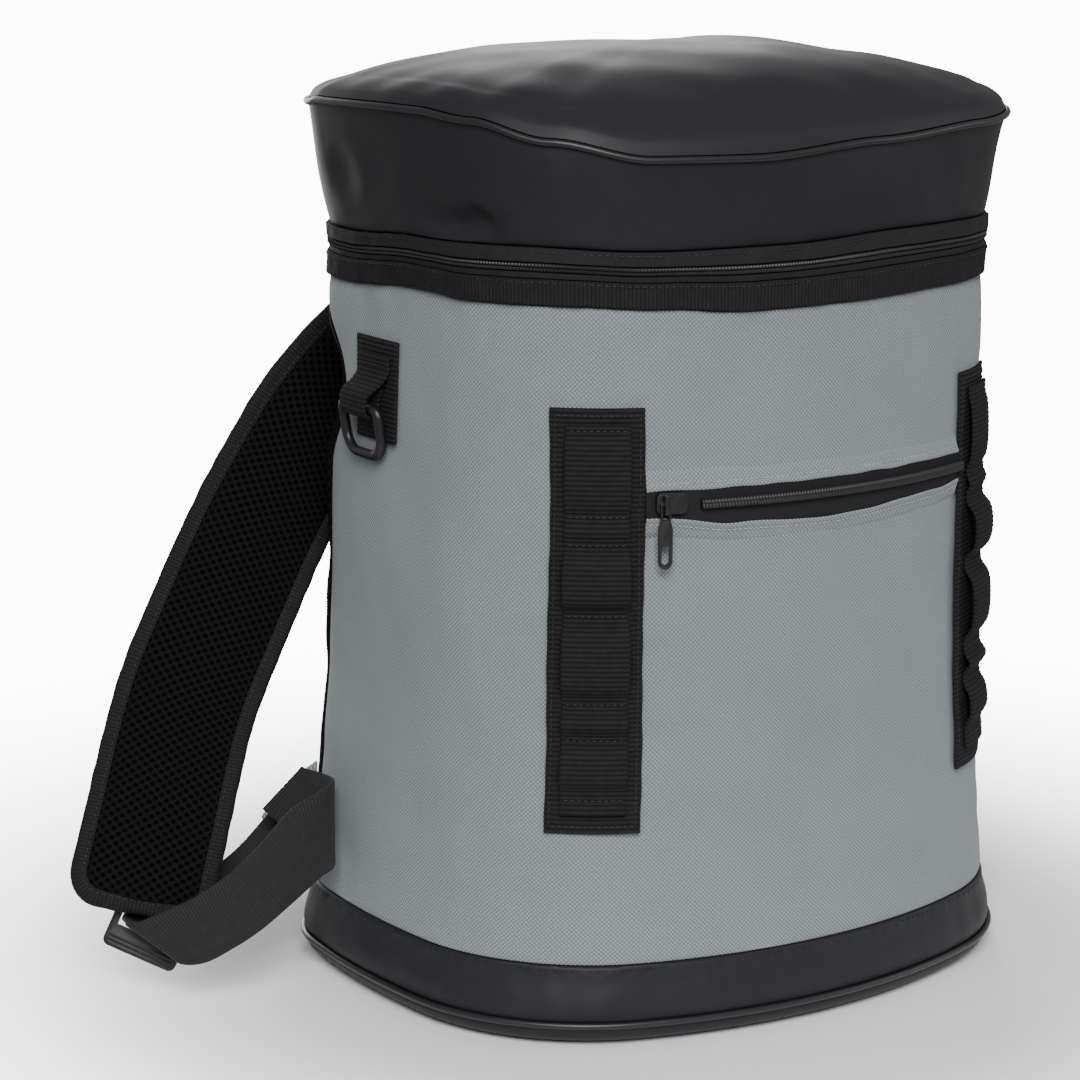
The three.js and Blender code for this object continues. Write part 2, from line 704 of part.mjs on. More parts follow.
function sideTab() {
  const middle = -sideAlong(TAB_SIDE_Y);
  const backing = [0, 0.33, 0.67, 1].map((v) => ({
    z: lerp(TAB_TOP, TAB_BOTTOM, v),
    left: middle - TAB_W / 2,
    right: middle + TAB_W / 2 - 2 * v,
    inner: LIFT,
    outer: LIFT + BACKING_T,
  }));
  add("ring_tab_backing", skinStrip(backing, 4), "webbing");
  const face = LIFT + BACKING_T + GAP;
  const turn = RING.wire + 0.4 + WEBBING / 2;
  const path = [
    { z: TAB_TOP - 6.5, out: face + WEBBING / 2 },
    { z: TAB_TOP - 13, out: face + WEBBING / 2 },
    { z: TAB_TOP - 18, out: face + WEBBING / 2 + 2.2 },
    { z: TAB_TOP - 23, out: RING.topOut + turn * 0.86 },
  ];
  for (let i = 0; i <= 7; i += 1) {
    const a = radians(lerp(18, -158, i / 7));
    path.push({ z: RING.topZ + turn * Math.sin(a), out: RING.topOut + turn * Math.cos(a) });
  }
  path.push({ z: RING.topZ + 2.5, out: face + WEBBING / 2 + 0.05 });
  path.push({ z: RING.topZ + 9, out: face + WEBBING / 2 });
  // The tab's webbing is drawn in to the ring, which hangs towards the back.
  const ringMiddle = -sideAlong(RING.y);
  const sections = path.map((row, i) => {
    const before = path[Math.max(0, i - 1)];
    const after = path[Math.min(path.length - 1, i + 1)];
    const run = new THREE.Vector2(after.z - before.z, after.out - before.out).normalize();
    const lean = THREE.MathUtils.smoothstep(TAB_TOP - 12 - row.z, 0, 16);
    const centre = lerp(middle, ringMiddle, lean);
    const half = lerp(12.2, 10.6, lean);
    const h = WEBBING / 2;
    const near = { z: row.z - run.y * h, out: row.out + run.x * h };
    const far = { z: row.z + run.y * h, out: row.out - run.x * h };
    return [
      skin(centre - half, near.z, near.out),
      skin(centre + half, near.z, near.out),
      skin(centre + half, far.z, far.out),
      skin(centre - half, far.z, far.out),
    ];
  });
  add("ring_tab_webbing", loft(sections), "webbing");
  ring(ringMiddle);
}

// Distance along the plan at which the side wall reaches this depth.
function sideAlong(y) {
  const arc = arcs[2];
  const a = radians(arc.from);
  const turn = Math.acos(Math.cos(a) - (y + DEPTH / 2 - arc.y) / arc.radius);
  return arc.along + arc.radius * (turn - a);
}

// Oval ring: it hangs by its top bar and leans in to rest on the cloth.
function ring(middle) {
  const tight = RING.topCorner;
  const corner = RING.height * 0.42;
  const w = RING.width / 2;
  const h = RING.height / 2;
  const path = new THREE.Path();
  path.moveTo(tight - w, h);
  path.lineTo(w - tight, h);
  path.absarc(w - tight, h - tight, tight, Math.PI / 2, 0, true);
  path.absarc(w - corner, corner - h, corner, 0, -Math.PI / 2, true);
  path.absarc(corner - w, corner - h, corner, -Math.PI / 2, -Math.PI, true);
  path.absarc(tight - w, h - tight, tight, Math.PI, Math.PI / 2, true);
  const count = 26;
  const at = path.getSpacedPoints(count).slice(0, count);
  const place = (p, off, rise) => {
    const v = (h - p.y) / RING.height;
    return skin(middle + p.x, RING.topZ - (h - p.y) + rise, lerp(RING.topOut, RING.lowOut, v) + off);
  };
  const sections = at.map((p, i) => {
    const before = at[(i + count - 1) % count];
    const after = at[(i + 1) % count];
    const away = new THREE.Vector2(before.y - after.y, after.x - before.x).normalize();
    const points = [];
    for (let j = 0; j < 6; j += 1) {
      const a = (j * Math.PI) / 3;
      const across = RING.wire * Math.cos(a);
      const q = { x: p.x + away.x * across, y: p.y + away.y * across };
      points.push(place(q, RING.wire * Math.sin(a), 0));
    }
    return points;
  });
  add("oval_ring", loft(sections, "ring"), "nylon");
}

// Places a strap point on one side: the right strap mirrors the left and is swung back.
function placer(side) {
  return (xyz, swing = 1) => {
    const p = new THREE.Vector3(...xyz);
    if (side === "left") return p;
    const a = radians(RIGHT_SWING * swing);
    const dx = -p.x + ANCHOR.x;
    const dy = p.y - ANCHOR.y;
    const x = dx * Math.cos(a) - dy * Math.sin(a);
    const y = dx * Math.sin(a) + dy * Math.cos(a);
    return new THREE.Vector3(x - ANCHOR.x, y + ANCHOR.y, p.z);
  };
}

// The strap's own surface: distance down it, across it, and height towards the mesh side.
function strapSurface(side) {
  const place = placer(side);
  const curve = new THREE.CatmullRomCurve3(STRAP.map((row) => place([row.x, row.y, row.z], row.swing)));
  curve.arcLengthDivisions = 400;
  const length = curve.getLength();
  const sign = side === "left" ? 1 : -1;
  const turnOf = (row) => sign * row.face + (side === "left" ? 0 : RIGHT_SWING * row.swing);
  const at = (down, across, height) => {
    const u = THREE.MathUtils.clamp(down / length, 0, 1);
    const t = curve.getUtoTmapping(u);
    const row = t * (STRAP.length - 1);
    const i = Math.min(STRAP.length - 2, Math.floor(row));
    const face = radians(lerp(turnOf(STRAP[i]), turnOf(STRAP[i + 1]), row - i));
    const along = curve.getTangentAt(u);
    const normal = new THREE.Vector3(Math.sin(face), -Math.cos(face), 0);
    normal.addScaledVector(along, -normal.dot(along)).normalize();
    const width = new THREE.Vector3().crossVectors(along, normal).normalize();
    const extra = down - u * length;
    return curve
      .getPointAt(u)
      .addScaledVector(along, extra)
      .addScaledVector(width, sign * across)
      .addScaledVector(normal, height);
  };
  return { at, length };
}

// Half width of the strap's outline, drawn in by an inset, with rounded ends.
function strapHalf(down, length, inset) {
  const full = STRAP_W / 2;
  for (const end of [
    { run: down, round: TOP_ROUND },
    { run: length - down, round: END_ROUND },
  ]) {
    if (end.run < end.round) {
      const r = end.round - inset;
      return full - end.round + Math.sqrt(Math.max(0, r * r - (end.round - end.run) ** 2));
    }
  }
  return full - inset;
}

function strapPad(side) {
  const { at, length } = strapSurface(side);
  const inset = BINDING_W + GAP;
  const cuts = [];
  for (let i = 0; i <= STRAP_STEPS; i += 1) cuts.push(lerp(inset, length - END_ROUND, i / STRAP_STEPS));
  cuts.push(length - END_ROUND * 0.68, length - inset);
  const shares = [-1, -0.55, 0, 0.55, 1];
  const sections = cuts.map((down) => {
    const half = strapHalf(Math.max(down, TOP_ROUND), length, inset);
    const rise = (v) => STRAP_EDGE / 2 + ((STRAP_PAD - STRAP_EDGE) / 2) * (1 - v * v);
    return [
      ...shares.map((v) => at(down, v * half, rise(v))),
      ...shares.map((v) => at(down, -v * half, -rise(v))),
    ];
  });
  add(`strap_pad_${side}`, loft(sections), "mesh_cloth");
  strapBinding(side, at, length);
}

// The tape round the pad's edge, as one ring.
function strapBinding(side, at, length) {
  const inset = BINDING_W / 2;
  const path = [];
  const half = STRAP_W / 2;
  const corner = (down, across, round, from) => {
    const r = round - inset;
    for (let i = 0; i <= 3; i += 1) {
      const a = radians(from + 30 * i);
      path.push({ down: down + r * Math.cos(a), across: across + r * Math.sin(a) });
    }
  };
  for (let i = 1; i < STRAP_STEPS; i += 1) {
    path.push({ down: lerp(TOP_ROUND, length - END_ROUND, i / STRAP_STEPS), across: half - inset });
  }
  corner(length - END_ROUND, half - END_ROUND, END_ROUND, 0);
  path.splice(-4, 4, ...path.slice(-4).reverse());
  corner(length - END_ROUND, END_ROUND - half, END_ROUND, -90);
  path.splice(-4, 4, ...path.slice(-4).reverse());
  for (let i = STRAP_STEPS - 1; i > 0; i -= 1) {
    path.push({ down: lerp(TOP_ROUND, length - END_ROUND, i / STRAP_STEPS), across: inset - half });
  }
  corner(TOP_ROUND, TOP_ROUND - half, TOP_ROUND, -180);
  path.splice(-4, 4, ...path.slice(-4).reverse());
  corner(TOP_ROUND, half - TOP_ROUND, TOP_ROUND, 90);
  path.splice(-4, 4, ...path.slice(-4).reverse());
  const sections = path.map((p, i) => {
    const before = path[(i + path.length - 1) % path.length];
    const after = path[(i + 1) % path.length];
    const out = new THREE.Vector2(before.across - after.across, after.down - before.down).normalize();
    const h = STRAP_EDGE / 2 + 0.3;
    const w = BINDING_W / 2;
    const edge = (side2, height) => at(p.down - out.x * side2, p.across - out.y * side2, height);
    return [edge(w, h - 0.8), edge(w - 1, h), edge(-w, h), edge(-w, -h), edge(w - 1, -h), edge(w, 0.8 - h)];
  });
  add(`strap_binding_${side}`, loft(sections, "ring"), "webbing");
}

// A ribbon of webbing through rows of upper and lower edge points.
function ribbon(rows, thick) {
  const sections = rows.map((row, i) => {
    const before = rows[Math.max(0, i - 1)];
    const after = rows[Math.min(rows.length - 1, i + 1)];
    const middle = (r) => r.up.clone().add(r.low).multiplyScalar(0.5);
    const run = middle(after).sub(middle(before)).normalize();
    const across = row.low.clone().sub(row.up);
    const normal = new THREE.Vector3().crossVectors(run, across).normalize().multiplyScalar(thick / 2);
    return [
      row.up.clone().add(normal),
      row.low.clone().add(normal),
      row.low.clone().sub(normal),
      row.up.clone().sub(normal),
    ];
  });
  return loft(sections);
}

// The lock's frame on one side: its middle, its bar direction and the mesh side's direction.
function lockFrame(side) {
  const place = placer(side);
  const middle = place([LOCK.x, LOCK.y, LOCK.z]);
  const toward = (v) => place([LOCK.x + v[0], LOCK.y + v[1], LOCK.z + v[2]]).sub(middle).normalize();
  const bar = toward(LOCK.bar);
  if (side === "right") bar.negate();
  const face = toward(LOCK.face);
  face.addScaledVector(bar, -face.dot(bar)).normalize();
  const up = new THREE.Vector3().crossVectors(face, bar);
  const basis = new THREE.Matrix4().makeBasis(bar, face.clone().negate(), up);
  basis.setPosition(middle);
  const sign = side === "left" ? 1 : -1;
  const at = (x, out, z) => new THREE.Vector3(sign * x, -out, z).applyMatrix4(basis);
  return { basis, at };
}

function ladderLock(side) {
  const { basis } = lockFrame(side);
  const size = LOCK_SIZE;
  const shape = roundedRect(-size.width / 2, size.low, size.width, size.high - size.low, size.corner);
  for (const slot of LOCK_SLOTS) {
    const cut = rectangle(-size.slotW / 2, slot.low, size.slotW, slot.high - slot.low);
    shape.holes.push(new THREE.Path(cut.getPoints().reverse()));
  }
  const half = size.thick / 2;
  let body = solid(plate(shape, -half, half));
  for (let i = 0; i < LOCK_RIB.count; i += 1) {
    const z = LOCK_RIB.from + i * LOCK_RIB.pitch;
    const rib = rectangle(-LOCK_RIB.span / 2, z, LOCK_RIB.span, LOCK_RIB.width);
    body = body.add(solid(plate(rib, 0, half + LOCK_RIB.rise)));
  }
  const frame = new THREE.Group();
  frame.applyMatrix4(basis);
  bag.add(frame);
  add(`ladder_lock_${side}`, geometryOf(body), "nylon", frame);
}

function adjuster(side) {
  const place = placer(side);
  const lock = lockFrame(side);
  const spread = (rows) => rows.map((row) => ({ up: place(row.up, row.swing), low: place(row.low, row.swing) }));
  const half = WEBBING_W / 2;
  const threaded = (rows) =>
    rows.map((row) => {
      const dx = half * Math.cos(row.tilt);
      const dz = half * Math.sin(row.tilt);
      return {
        up: lock.at(row.shift - dx, row.out, row.z + dz),
        low: lock.at(row.shift + dx, row.out, row.z - dz),
      };
    });
  const rows = [...spread(ADJUSTER_REAR), ...threaded(LOCK_THREAD), ...spread(ADJUSTER_FRONT)];
  add(`adjuster_webbing_${side}`, ribbon(rows, WEBBING), "webbing");
  add(`strap_wing_${side}`, ribbon(spread(WING), WING_T), "grey_cloth");
  add(`keeper_webbing_${side}`, ribbon(threaded(KEEPER_THREAD), WEBBING), "webbing");
}

// Webbing tab that carries the top end of each strap on the back panel.
function strapAnchor(side) {
  const sign = side === "left" ? -1 : 1;
  const back = DEPTH / 2 + BACK_PAD_OUT + ANCHOR_T / 2;
  const { at } = strapSurface(side);
  const half = STRAP_W / 2 - TOP_ROUND;
  const end = (down) => ({ up: at(down, -half, 0), low: at(down, half, 0) });
  const sewn = (x, y) => ({
    up: new THREE.Vector3(sign * x, y, ANCHOR_Z + half),
    low: new THREE.Vector3(sign * x, y, ANCHOR_Z - half),
  });
  const free = end(-2.5);
  const bend = sewn(21, back + 1);
  const turning = { up: free.up.clone().lerp(bend.up, 0.5), low: free.low.clone().lerp(bend.low, 0.5) };
  const rows = [end(-GAP), free, turning, bend, sewn(12.5, back), sewn(4, back)];
  add(`strap_anchor_${side}`, ribbon(rows, ANCHOR_T), "webbing");
}

ringWall("base_band", "coated_cloth", baseBand);
floorPanel();
ringWall("base_piping", "coated_cloth", (s) => beadSection((out, up) => skin(s, FLOOR_SEAM + up, 0.5 + out)));
const wrapEnd = alongAt(BACK_TURN);
add("front_side_wrap", loft(stations(-wrapEnd, wrapEnd).map(wrapSection)), "grey_cloth");
{
  const from = wrapEnd + GAP;
  const right = stations(from, HALF_LENGTH);
  const left = stations(-HALF_LENGTH, -from).slice(1);
  add("back_panel", loft([...right, ...left].map(backSection)), "mesh_cloth");
}
for (const [name, part] of Object.entries(BAND)) {
  ringWall(`zip_band_${name}`, "webbing", bandSection(part));
}
ringWall("lid_wall", "coated_cloth", lidWallSection);
ringWall("lid_piping", "coated_cloth", (s) =>
  beadSection((out, up) => {
    const p = lidPoint(s, 1, 0.6 + out);
    return p.setZ(lidSeam(s) + up + GAP / 2);
  }),
);
lidTop();
ladderStrip(-1, "left");
ladderStrip(1, "right");
pocketZip();
slider("pocket", alongAt(POCKET_SLIDER_TURN), POCKET_COIL_Z + 1, GAP + POCKET_TAPE_T + GAP);
const mainAt = alongAt(MAIN_SLIDER_TURN);
const mainZ = lerp(rimLow(mainAt), rimHigh(mainAt), (BAND.coil.from + BAND.coil.to) / 2);
slider("main", mainAt, mainZ, BAND.binding.outer + GAP);
sideTab();
for (const side of ["left", "right"]) {
  strapPad(side);
  ladderLock(side);
  adjuster(side);
  strapAnchor(side);
}

export default bag;
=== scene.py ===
"""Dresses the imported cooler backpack: soft walls, tapes, straps, fittings, floor, lights and camera.

Metres, +Z up, front pocket towards -Y, back panel towards +Y, left shoulder strap on the -X side.
"""

import logging
import math
from collections.abc import Callable, Sequence
from dataclasses import dataclass, field
from enum import Enum

import bpy
import numpy as np
from mathutils import Matrix, Vector


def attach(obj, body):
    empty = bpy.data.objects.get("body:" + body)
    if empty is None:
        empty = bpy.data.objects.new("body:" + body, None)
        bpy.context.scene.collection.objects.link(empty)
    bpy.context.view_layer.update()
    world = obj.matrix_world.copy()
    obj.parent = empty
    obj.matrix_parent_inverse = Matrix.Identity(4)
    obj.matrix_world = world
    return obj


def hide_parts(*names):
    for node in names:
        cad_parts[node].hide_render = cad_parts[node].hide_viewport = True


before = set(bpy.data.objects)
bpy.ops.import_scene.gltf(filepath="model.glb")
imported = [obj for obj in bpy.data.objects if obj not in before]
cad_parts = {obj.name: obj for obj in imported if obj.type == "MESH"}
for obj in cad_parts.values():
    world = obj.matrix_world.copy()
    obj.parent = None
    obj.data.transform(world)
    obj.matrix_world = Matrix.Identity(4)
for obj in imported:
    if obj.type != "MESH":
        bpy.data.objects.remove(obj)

LOG = logging.getLogger("backpack")
GAP = 0.0003
LADDER_TURN = 34.4  # degrees round the plan from the front to the middle of a webbing ladder
CLOTH_TALL = 0.268  # usual height of the grey cloth between the base band and the rim
Array = np.ndarray
Rows = Sequence[tuple[float, float]]
Placer = Callable[[Array, Array], Array]


class Body(Enum):
    """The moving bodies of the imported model."""

    BAG = "bag"
    POCKET_PULL = "pocket_pull"
    MAIN_PULL = "main_pull"


class Side(Enum):
    """The two shoulder straps, and which way X runs for each."""

    LEFT = "left"
    RIGHT = "right"

    @property
    def sign(self) -> int:
        """-1 on the left, 1 on the right."""
        return -1 if self is Side.LEFT else 1


# Plan of the bag


def eased(rows: Rows, at: Array) -> Array:
    """Reads a table of (place, value) rows, eased between rows.

    Args:
        rows: places in rising order, each with its value.
        at: places to read.

    Returns:
        The value at each place.
    """
    places = np.array([r[0] for r in rows])
    values = np.array([r[1] for r in rows])
    i = np.clip(np.searchsorted(places, at, side="left") - 1, 0, len(rows) - 2)
    share = np.clip((at - places[i]) / (places[i + 1] - places[i]), 0, 1)
    share = share * share * (3 - 2 * share)
    return values[i] + (values[i + 1] - values[i]) * share


def waves(points: Array, length: float, seed: int, count: int = 6) -> Array:
    """Smooth ripple that doesn't repeat, about -1 to 1.

    Args:
        points: places in space, one row each.
        length: usual distance between crests.
        seed: picks the directions and phases.
        count: how many waves are added.

    Returns:
        The ripple at each place.
    """
    rng = np.random.default_rng(seed)
    total = np.zeros(len(points))
    for _ in range(count):
        way = rng.normal(size=3)
        way *= math.tau / (length * rng.uniform(0.75, 1.45) * np.linalg.norm(way))
        total += np.sin(points @ way + rng.uniform(0, math.tau))
    return total / (0.8 * count**0.5 * 1.6)


@dataclass(frozen=True)
class Dent:
    """A dent, or with a negative depth a swelling, of the outer cloth."""

    turn: float
    z: float
    depth: float
    along: float
    up: float


@dataclass(frozen=True)
class Arc:
    """One arc of the plan's right half."""

    radius: float
    start: float
    stop: float
    x: float
    y: float
    along: float

    @property
    def length(self) -> float:
        """Length of the arc."""
        return self.radius * (self.stop - self.start)


@dataclass
class Plan:
    """The bag's outline seen from above, its taper, and the wavy seams round it."""

    radii: tuple[tuple[float, float], ...] = ((0.236, 20.0), (0.0825, 85.0), (0.340, 98.5), (0.0505, 180.0))
    taper: Rows = (
        (0.0, 1.086), (0.014, 1.088), (0.034, 1.056), (0.060, 1.041), (0.095, 1.022),
        (0.135, 1.006), (0.180, 1.0), (0.240, 0.995), (0.302, 0.992), (0.326, 0.998),
    )
    low_rim: Rows = (
        (-180, 0.302), (-97, 0.3015), (-88, 0.3045), (-76, 0.303), (-41, 0.303), (-19, 0.3016),
        (-10, 0.2994), (2, 0.300), (15, 0.3012), (60, 0.3025), (180, 0.302),
    )
    high_rim: Rows = (
        (-180, 0.324), (-97, 0.3226), (-88, 0.3254), (-54, 0.326), (-19, 0.3243),
        (-6, 0.325), (9, 0.3276), (60, 0.3264), (180, 0.324),
    )
    seam: Rows = (
        (-180, 0.373), (-112, 0.374), (-87, 0.377), (-68, 0.3745), (-46, 0.3675), (-19, 0.3606),
        (-10, 0.3604), (4, 0.3648), (19, 0.368), (60, 0.370), (120, 0.376), (180, 0.373),
    )
    dents: tuple[Dent, ...] = (
        Dent(-126, 0.254, 0.0075, 0.040, 0.036),
        Dent(-104, 0.292, -0.002, 0.034, 0.026),
        Dent(-60, 0.215, 0.0016, 0.046, 0.060),
        Dent(-6, 0.150, -0.0024, 0.090, 0.070),
        Dent(-75, 0.334, 0.0042, 0.030, 0.011),
        Dent(-96, 0.346, 0.0018, 0.018, 0.016),
        Dent(118, 0.250, 0.004, 0.040, 0.036),
    )
    lid_scale: float = 1.059
    lid_crown: float = 0.400
    arcs: list[Arc] = field(default_factory=list)

    def __post_init__(self) -> None:
        """Joins the arcs end to end."""
        x = y = along = start = 0.0
        for radius, turn in self.radii:
            stop = math.radians(turn)
            self.arcs.append(Arc(radius, start, stop, x, y, along))
            x += radius * (math.sin(stop) - math.sin(start))
            y += radius * (math.cos(start) - math.cos(stop))
            along += radius * (stop - start)
            start = stop
        self.back_x, self.depth, self.back_along = x, y, along
        self.half = along + x

    def at(self, s: Array) -> tuple[Array, Array, Array, Array, Array]:
        """Point, outward normal and turn in degrees at distances round the plan.

        Args:
            s: distances from the front centre, negative on the -X side.

        Returns:
            x, y, normal x, normal y, turn.
        """
        s = np.asarray(s, dtype=float)
        side = np.where(s < 0, -1.0, 1.0)
        d = np.minimum(np.abs(s), self.half)
        x = self.back_x - (d - self.back_along)
        y = np.full_like(x, self.depth)
        nx, ny, turn = np.zeros_like(x), np.ones_like(x), np.full_like(x, math.pi)
        for arc in self.arcs:
            on = (d >= arc.along - 1e-12) & (d < arc.along + arc.length)
            b = arc.start + (d - arc.along) / arc.radius
            x = np.where(on, arc.x + arc.radius * (np.sin(b) - math.sin(arc.start)), x)
            y = np.where(on, arc.y + arc.radius * (math.cos(arc.start) - np.cos(b)), y)
            nx, ny = np.where(on, np.sin(b), nx), np.where(on, -np.cos(b), ny)
            turn = np.where(on, b, turn)
        return side * x, y - self.depth / 2, side * nx, ny, side * np.degrees(turn)

    def along(self, turn: float) -> float:
        """Distance round the plan at which its normal has turned this far from the front."""
        t = math.radians(abs(turn))
        arc = next(a for a in self.arcs if t <= a.stop + 1e-9)
        return math.copysign(arc.along + arc.radius * (t - arc.start), turn)

    def side_along(self, y: float) -> float:
        """Distance at which the side wall reaches this depth."""
        arc = self.arcs[2]
        turn = math.acos(math.cos(arc.start) - (y + self.depth / 2 - arc.y) / arc.radius)
        return arc.along + arc.radius * (turn - arc.start)

    def dent(self, s: Array, z: Array) -> Array:
        """How far the cloth is pushed in at a place."""
        total = np.zeros_like(np.asarray(s, dtype=float))
        for d in self.dents:
            r = np.hypot((s - self.along(d.turn)) / d.along, (z - d.z) / d.up)
            total += np.where(r < 1, d.depth * np.cos(np.minimum(r, 1) * math.pi / 2) ** 2, 0)
        return total

    def rim_low(self, s: Array) -> Array:
        """Height of the lower edge of the zip band."""
        return eased(self.low_rim, self.at(s)[4])

    def rim_high(self, s: Array) -> Array:
        """Height of the upper edge of the zip band."""
        return eased(self.high_rim, self.at(s)[4])

    def lid_seam(self, s: Array) -> Array:
        """Height of the piped seam of the lid."""
        return eased(self.seam, self.at(s)[4])

    def _place(self, s: Array, scale: Array, out: Array, z: Array) -> Array:
        """Point of a scaled plan, moved out along its normal."""
        x, y, nx, ny, _ = self.at(s)
        return np.stack([x * scale + nx * out, y * scale + ny * out, z + 0 * x], axis=-1)

    def skin(self, s: Array, z: Array, out: Array = 0.0) -> Array:
        """Points of the outer cloth, moved out by a distance."""
        s, z = np.broadcast_arrays(np.asarray(s, dtype=float), np.asarray(z, dtype=float))
        return self._place(s, eased(self.taper, z), out - self.dent(s, z), z)

    def lid_wall(self, s: Array, v: Array, out: Array = 0.0) -> Array:
        """Points of the lid wall, from the zip band (v = 0) to the piped seam (v = 1)."""
        low, high = self.rim_high(s) + GAP / 2, self.lid_seam(s)
        z = low + (high - low) * v
        scale = 0.998 + (self.lid_scale - 0.998) * np.clip(v, 0, None) ** 0.8
        return self._place(s, scale, out - self.dent(s, z), z)

    def dome(self, s: Array, share: Array, drop: Array = 0.0) -> Array:
        """Points of the lid top, from its middle (share = 0) to the seam (share = 1)."""
        x, y, _, _, _ = self.at(s)
        seam = self.lid_seam(s)
        rise = (1 - np.clip(share, 0, 1) ** 2.2) ** 0.55
        z = seam + (self.lid_crown - seam) * rise - drop
        return np.stack([x * self.lid_scale * share, y * self.lid_scale * share, z], axis=-1)


# Meshes by operators


def deselect() -> None:
    """Deselects every object."""
    bpy.ops.object.select_all(action="DESELECT")


def make_active(obj: bpy.types.Object) -> None:
    """Selects one object alone and makes it active."""
    deselect()
    obj.select_set(True)
    bpy.context.view_layer.objects.active = obj


def in_edit_mode(obj: bpy.types.Object, *steps: Callable[[], object]) -> None:
    """Runs operators on all of a mesh in edit mode."""
    make_active(obj)
    bpy.ops.object.mode_set(mode="EDIT")
    bpy.ops.mesh.select_mode(type="VERT")
    bpy.ops.mesh.select_all(action="SELECT")
    for step in steps:
        step()
    bpy.ops.object.mode_set(mode="OBJECT")


def apply_modifier(obj: bpy.types.Object, kind: str, **settings: object) -> None:
    """Adds a modifier, sets it and applies it."""
    make_active(obj)
    modifier = obj.modifiers.new(kind.lower(), kind)
    for key, value in settings.items():
        setattr(modifier, key, value)
    bpy.ops.object.modifier_apply(modifier=modifier.name)


def tidy_mesh(obj: bpy.types.Object, angle: float = 50.0, weld: float = 2e-6) -> None:
    """Merges doubles, closes open ends, turns faces out and smooths.

    Args:
        obj: the mesh to finish.
        angle: edges sharper than this many degrees stay sharp.
        weld: vertices nearer than this are merged.
    """
    in_edit_mode(
        obj,
        lambda: bpy.ops.mesh.remove_doubles(threshold=weld),
        lambda: bpy.ops.mesh.select_all(action="DESELECT"),
        lambda: bpy.ops.mesh.select_non_manifold(),
        lambda: bpy.ops.mesh.fill_holes(sides=0),
        lambda: bpy.ops.mesh.select_all(action="SELECT"),
        lambda: bpy.ops.mesh.normals_make_consistent(inside=False),
    )
    make_active(obj)
    bpy.ops.object.shade_smooth_by_angle(angle=math.radians(angle))


def wrapped_grid(name: str, columns: int, rows: int, place: Placer, metric: Placer) -> bpy.types.Object:
    """Adds a grid and wraps it over a surface.

    Args:
        name: name of the piece.
        columns: faces along the first direction.
        rows: faces along the second direction.
        place: gives points for two arrays of shares, 0 to 1.
        metric: gives the UV map for the same shares, in metres along the cloth.

    Returns:
        The new object, with doubles merged and ends closed.
    """
    deselect()
    bpy.ops.mesh.primitive_grid_add(x_subdivisions=columns, y_subdivisions=rows, size=1.0, calc_uvs=True)
    obj = bpy.context.active_object
    obj.name = obj.data.name = name
    mesh = obj.data
    flat = np.empty(len(mesh.vertices) * 3)
    mesh.vertices.foreach_get("co", flat)
    flat = flat.reshape(-1, 3)
    u, v = np.clip(flat[:, 0] + 0.5, 0, 1), np.clip(flat[:, 1] + 0.5, 0, 1)
    mesh.vertices.foreach_set("co", place(u, v).astype(float).ravel())
    loops = np.empty(len(mesh.loops), dtype=int)
    mesh.loops.foreach_get("vertex_index", loops)
    uv = np.asarray(metric(u, v), dtype=float)[loops]
    mesh.uv_layers[0].name = "cloth"
    mesh.uv_layers[0].uv.foreach_set("vector", uv.ravel())
    mesh.update()
    tidy_mesh(obj)
    return obj


def metres(long: float, wide: float) -> Placer:
    """A UV rule for a grid whose two directions are this long."""
    return lambda u, v: np.stack([u * long, v * wide], axis=-1)


def joined(name: str, parts: Sequence[bpy.types.Object]) -> bpy.types.Object:
    """Joins meshes into one piece with a name."""
    deselect()
    for part in parts:
        part.select_set(True)
    bpy.context.view_layer.objects.active = parts[0]
    if len(parts) > 1:
        bpy.ops.object.join()
    parts[0].name = parts[0].data.name = name
    return parts[0]


def bevelled_copy(node: str, name: str, width: float, segments: int = 2) -> bpy.types.Object:
    """Copies a hard CAD node, merges its loose triangles and rounds its edges.

    Args:
        node: the node to copy.
        name: name of the new piece.
        width: width of the rounded edge.
        segments: faces across it.

    Returns:
        The new piece.
    """
    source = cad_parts[node]
    obj = source.copy()
    obj.data = source.data.copy()
    obj.name = obj.data.name = name
    for key in list(obj.keys()):
        del obj[key]
    bpy.context.scene.collection.objects.link(obj)
    obj.parent = None
    obj.matrix_world = Matrix.Identity(4)
    obj.hide_render = False
    obj.data.materials.clear()
    in_edit_mode(
        obj,
        lambda: bpy.ops.mesh.remove_doubles(threshold=1e-6),
        lambda: bpy.ops.mesh.dissolve_limited(angle_limit=math.radians(3)),
    )
    sharp = math.radians(28)
    apply_modifier(obj, "BEVEL", width=width, segments=segments, limit_method="ANGLE", angle_limit=sharp)
    make_active(obj)
    bpy.ops.object.shade_smooth_by_angle(angle=math.radians(40))
    return obj


# Materials


def linear(code: str) -> tuple[float, float, float, float]:
    """Turns an sRGB hex code into a linear colour."""
    values = [int(code[i : i + 2], 16) / 255 for i in (1, 3, 5)]
    parts = [c / 12.92 if c <= 0.04045 else ((c + 0.055) / 1.055) ** 2.4 for c in values]
    return (*parts, 1.0)


Tree = bpy.types.NodeTree
Node = bpy.types.Node
Socket = bpy.types.NodeSocket


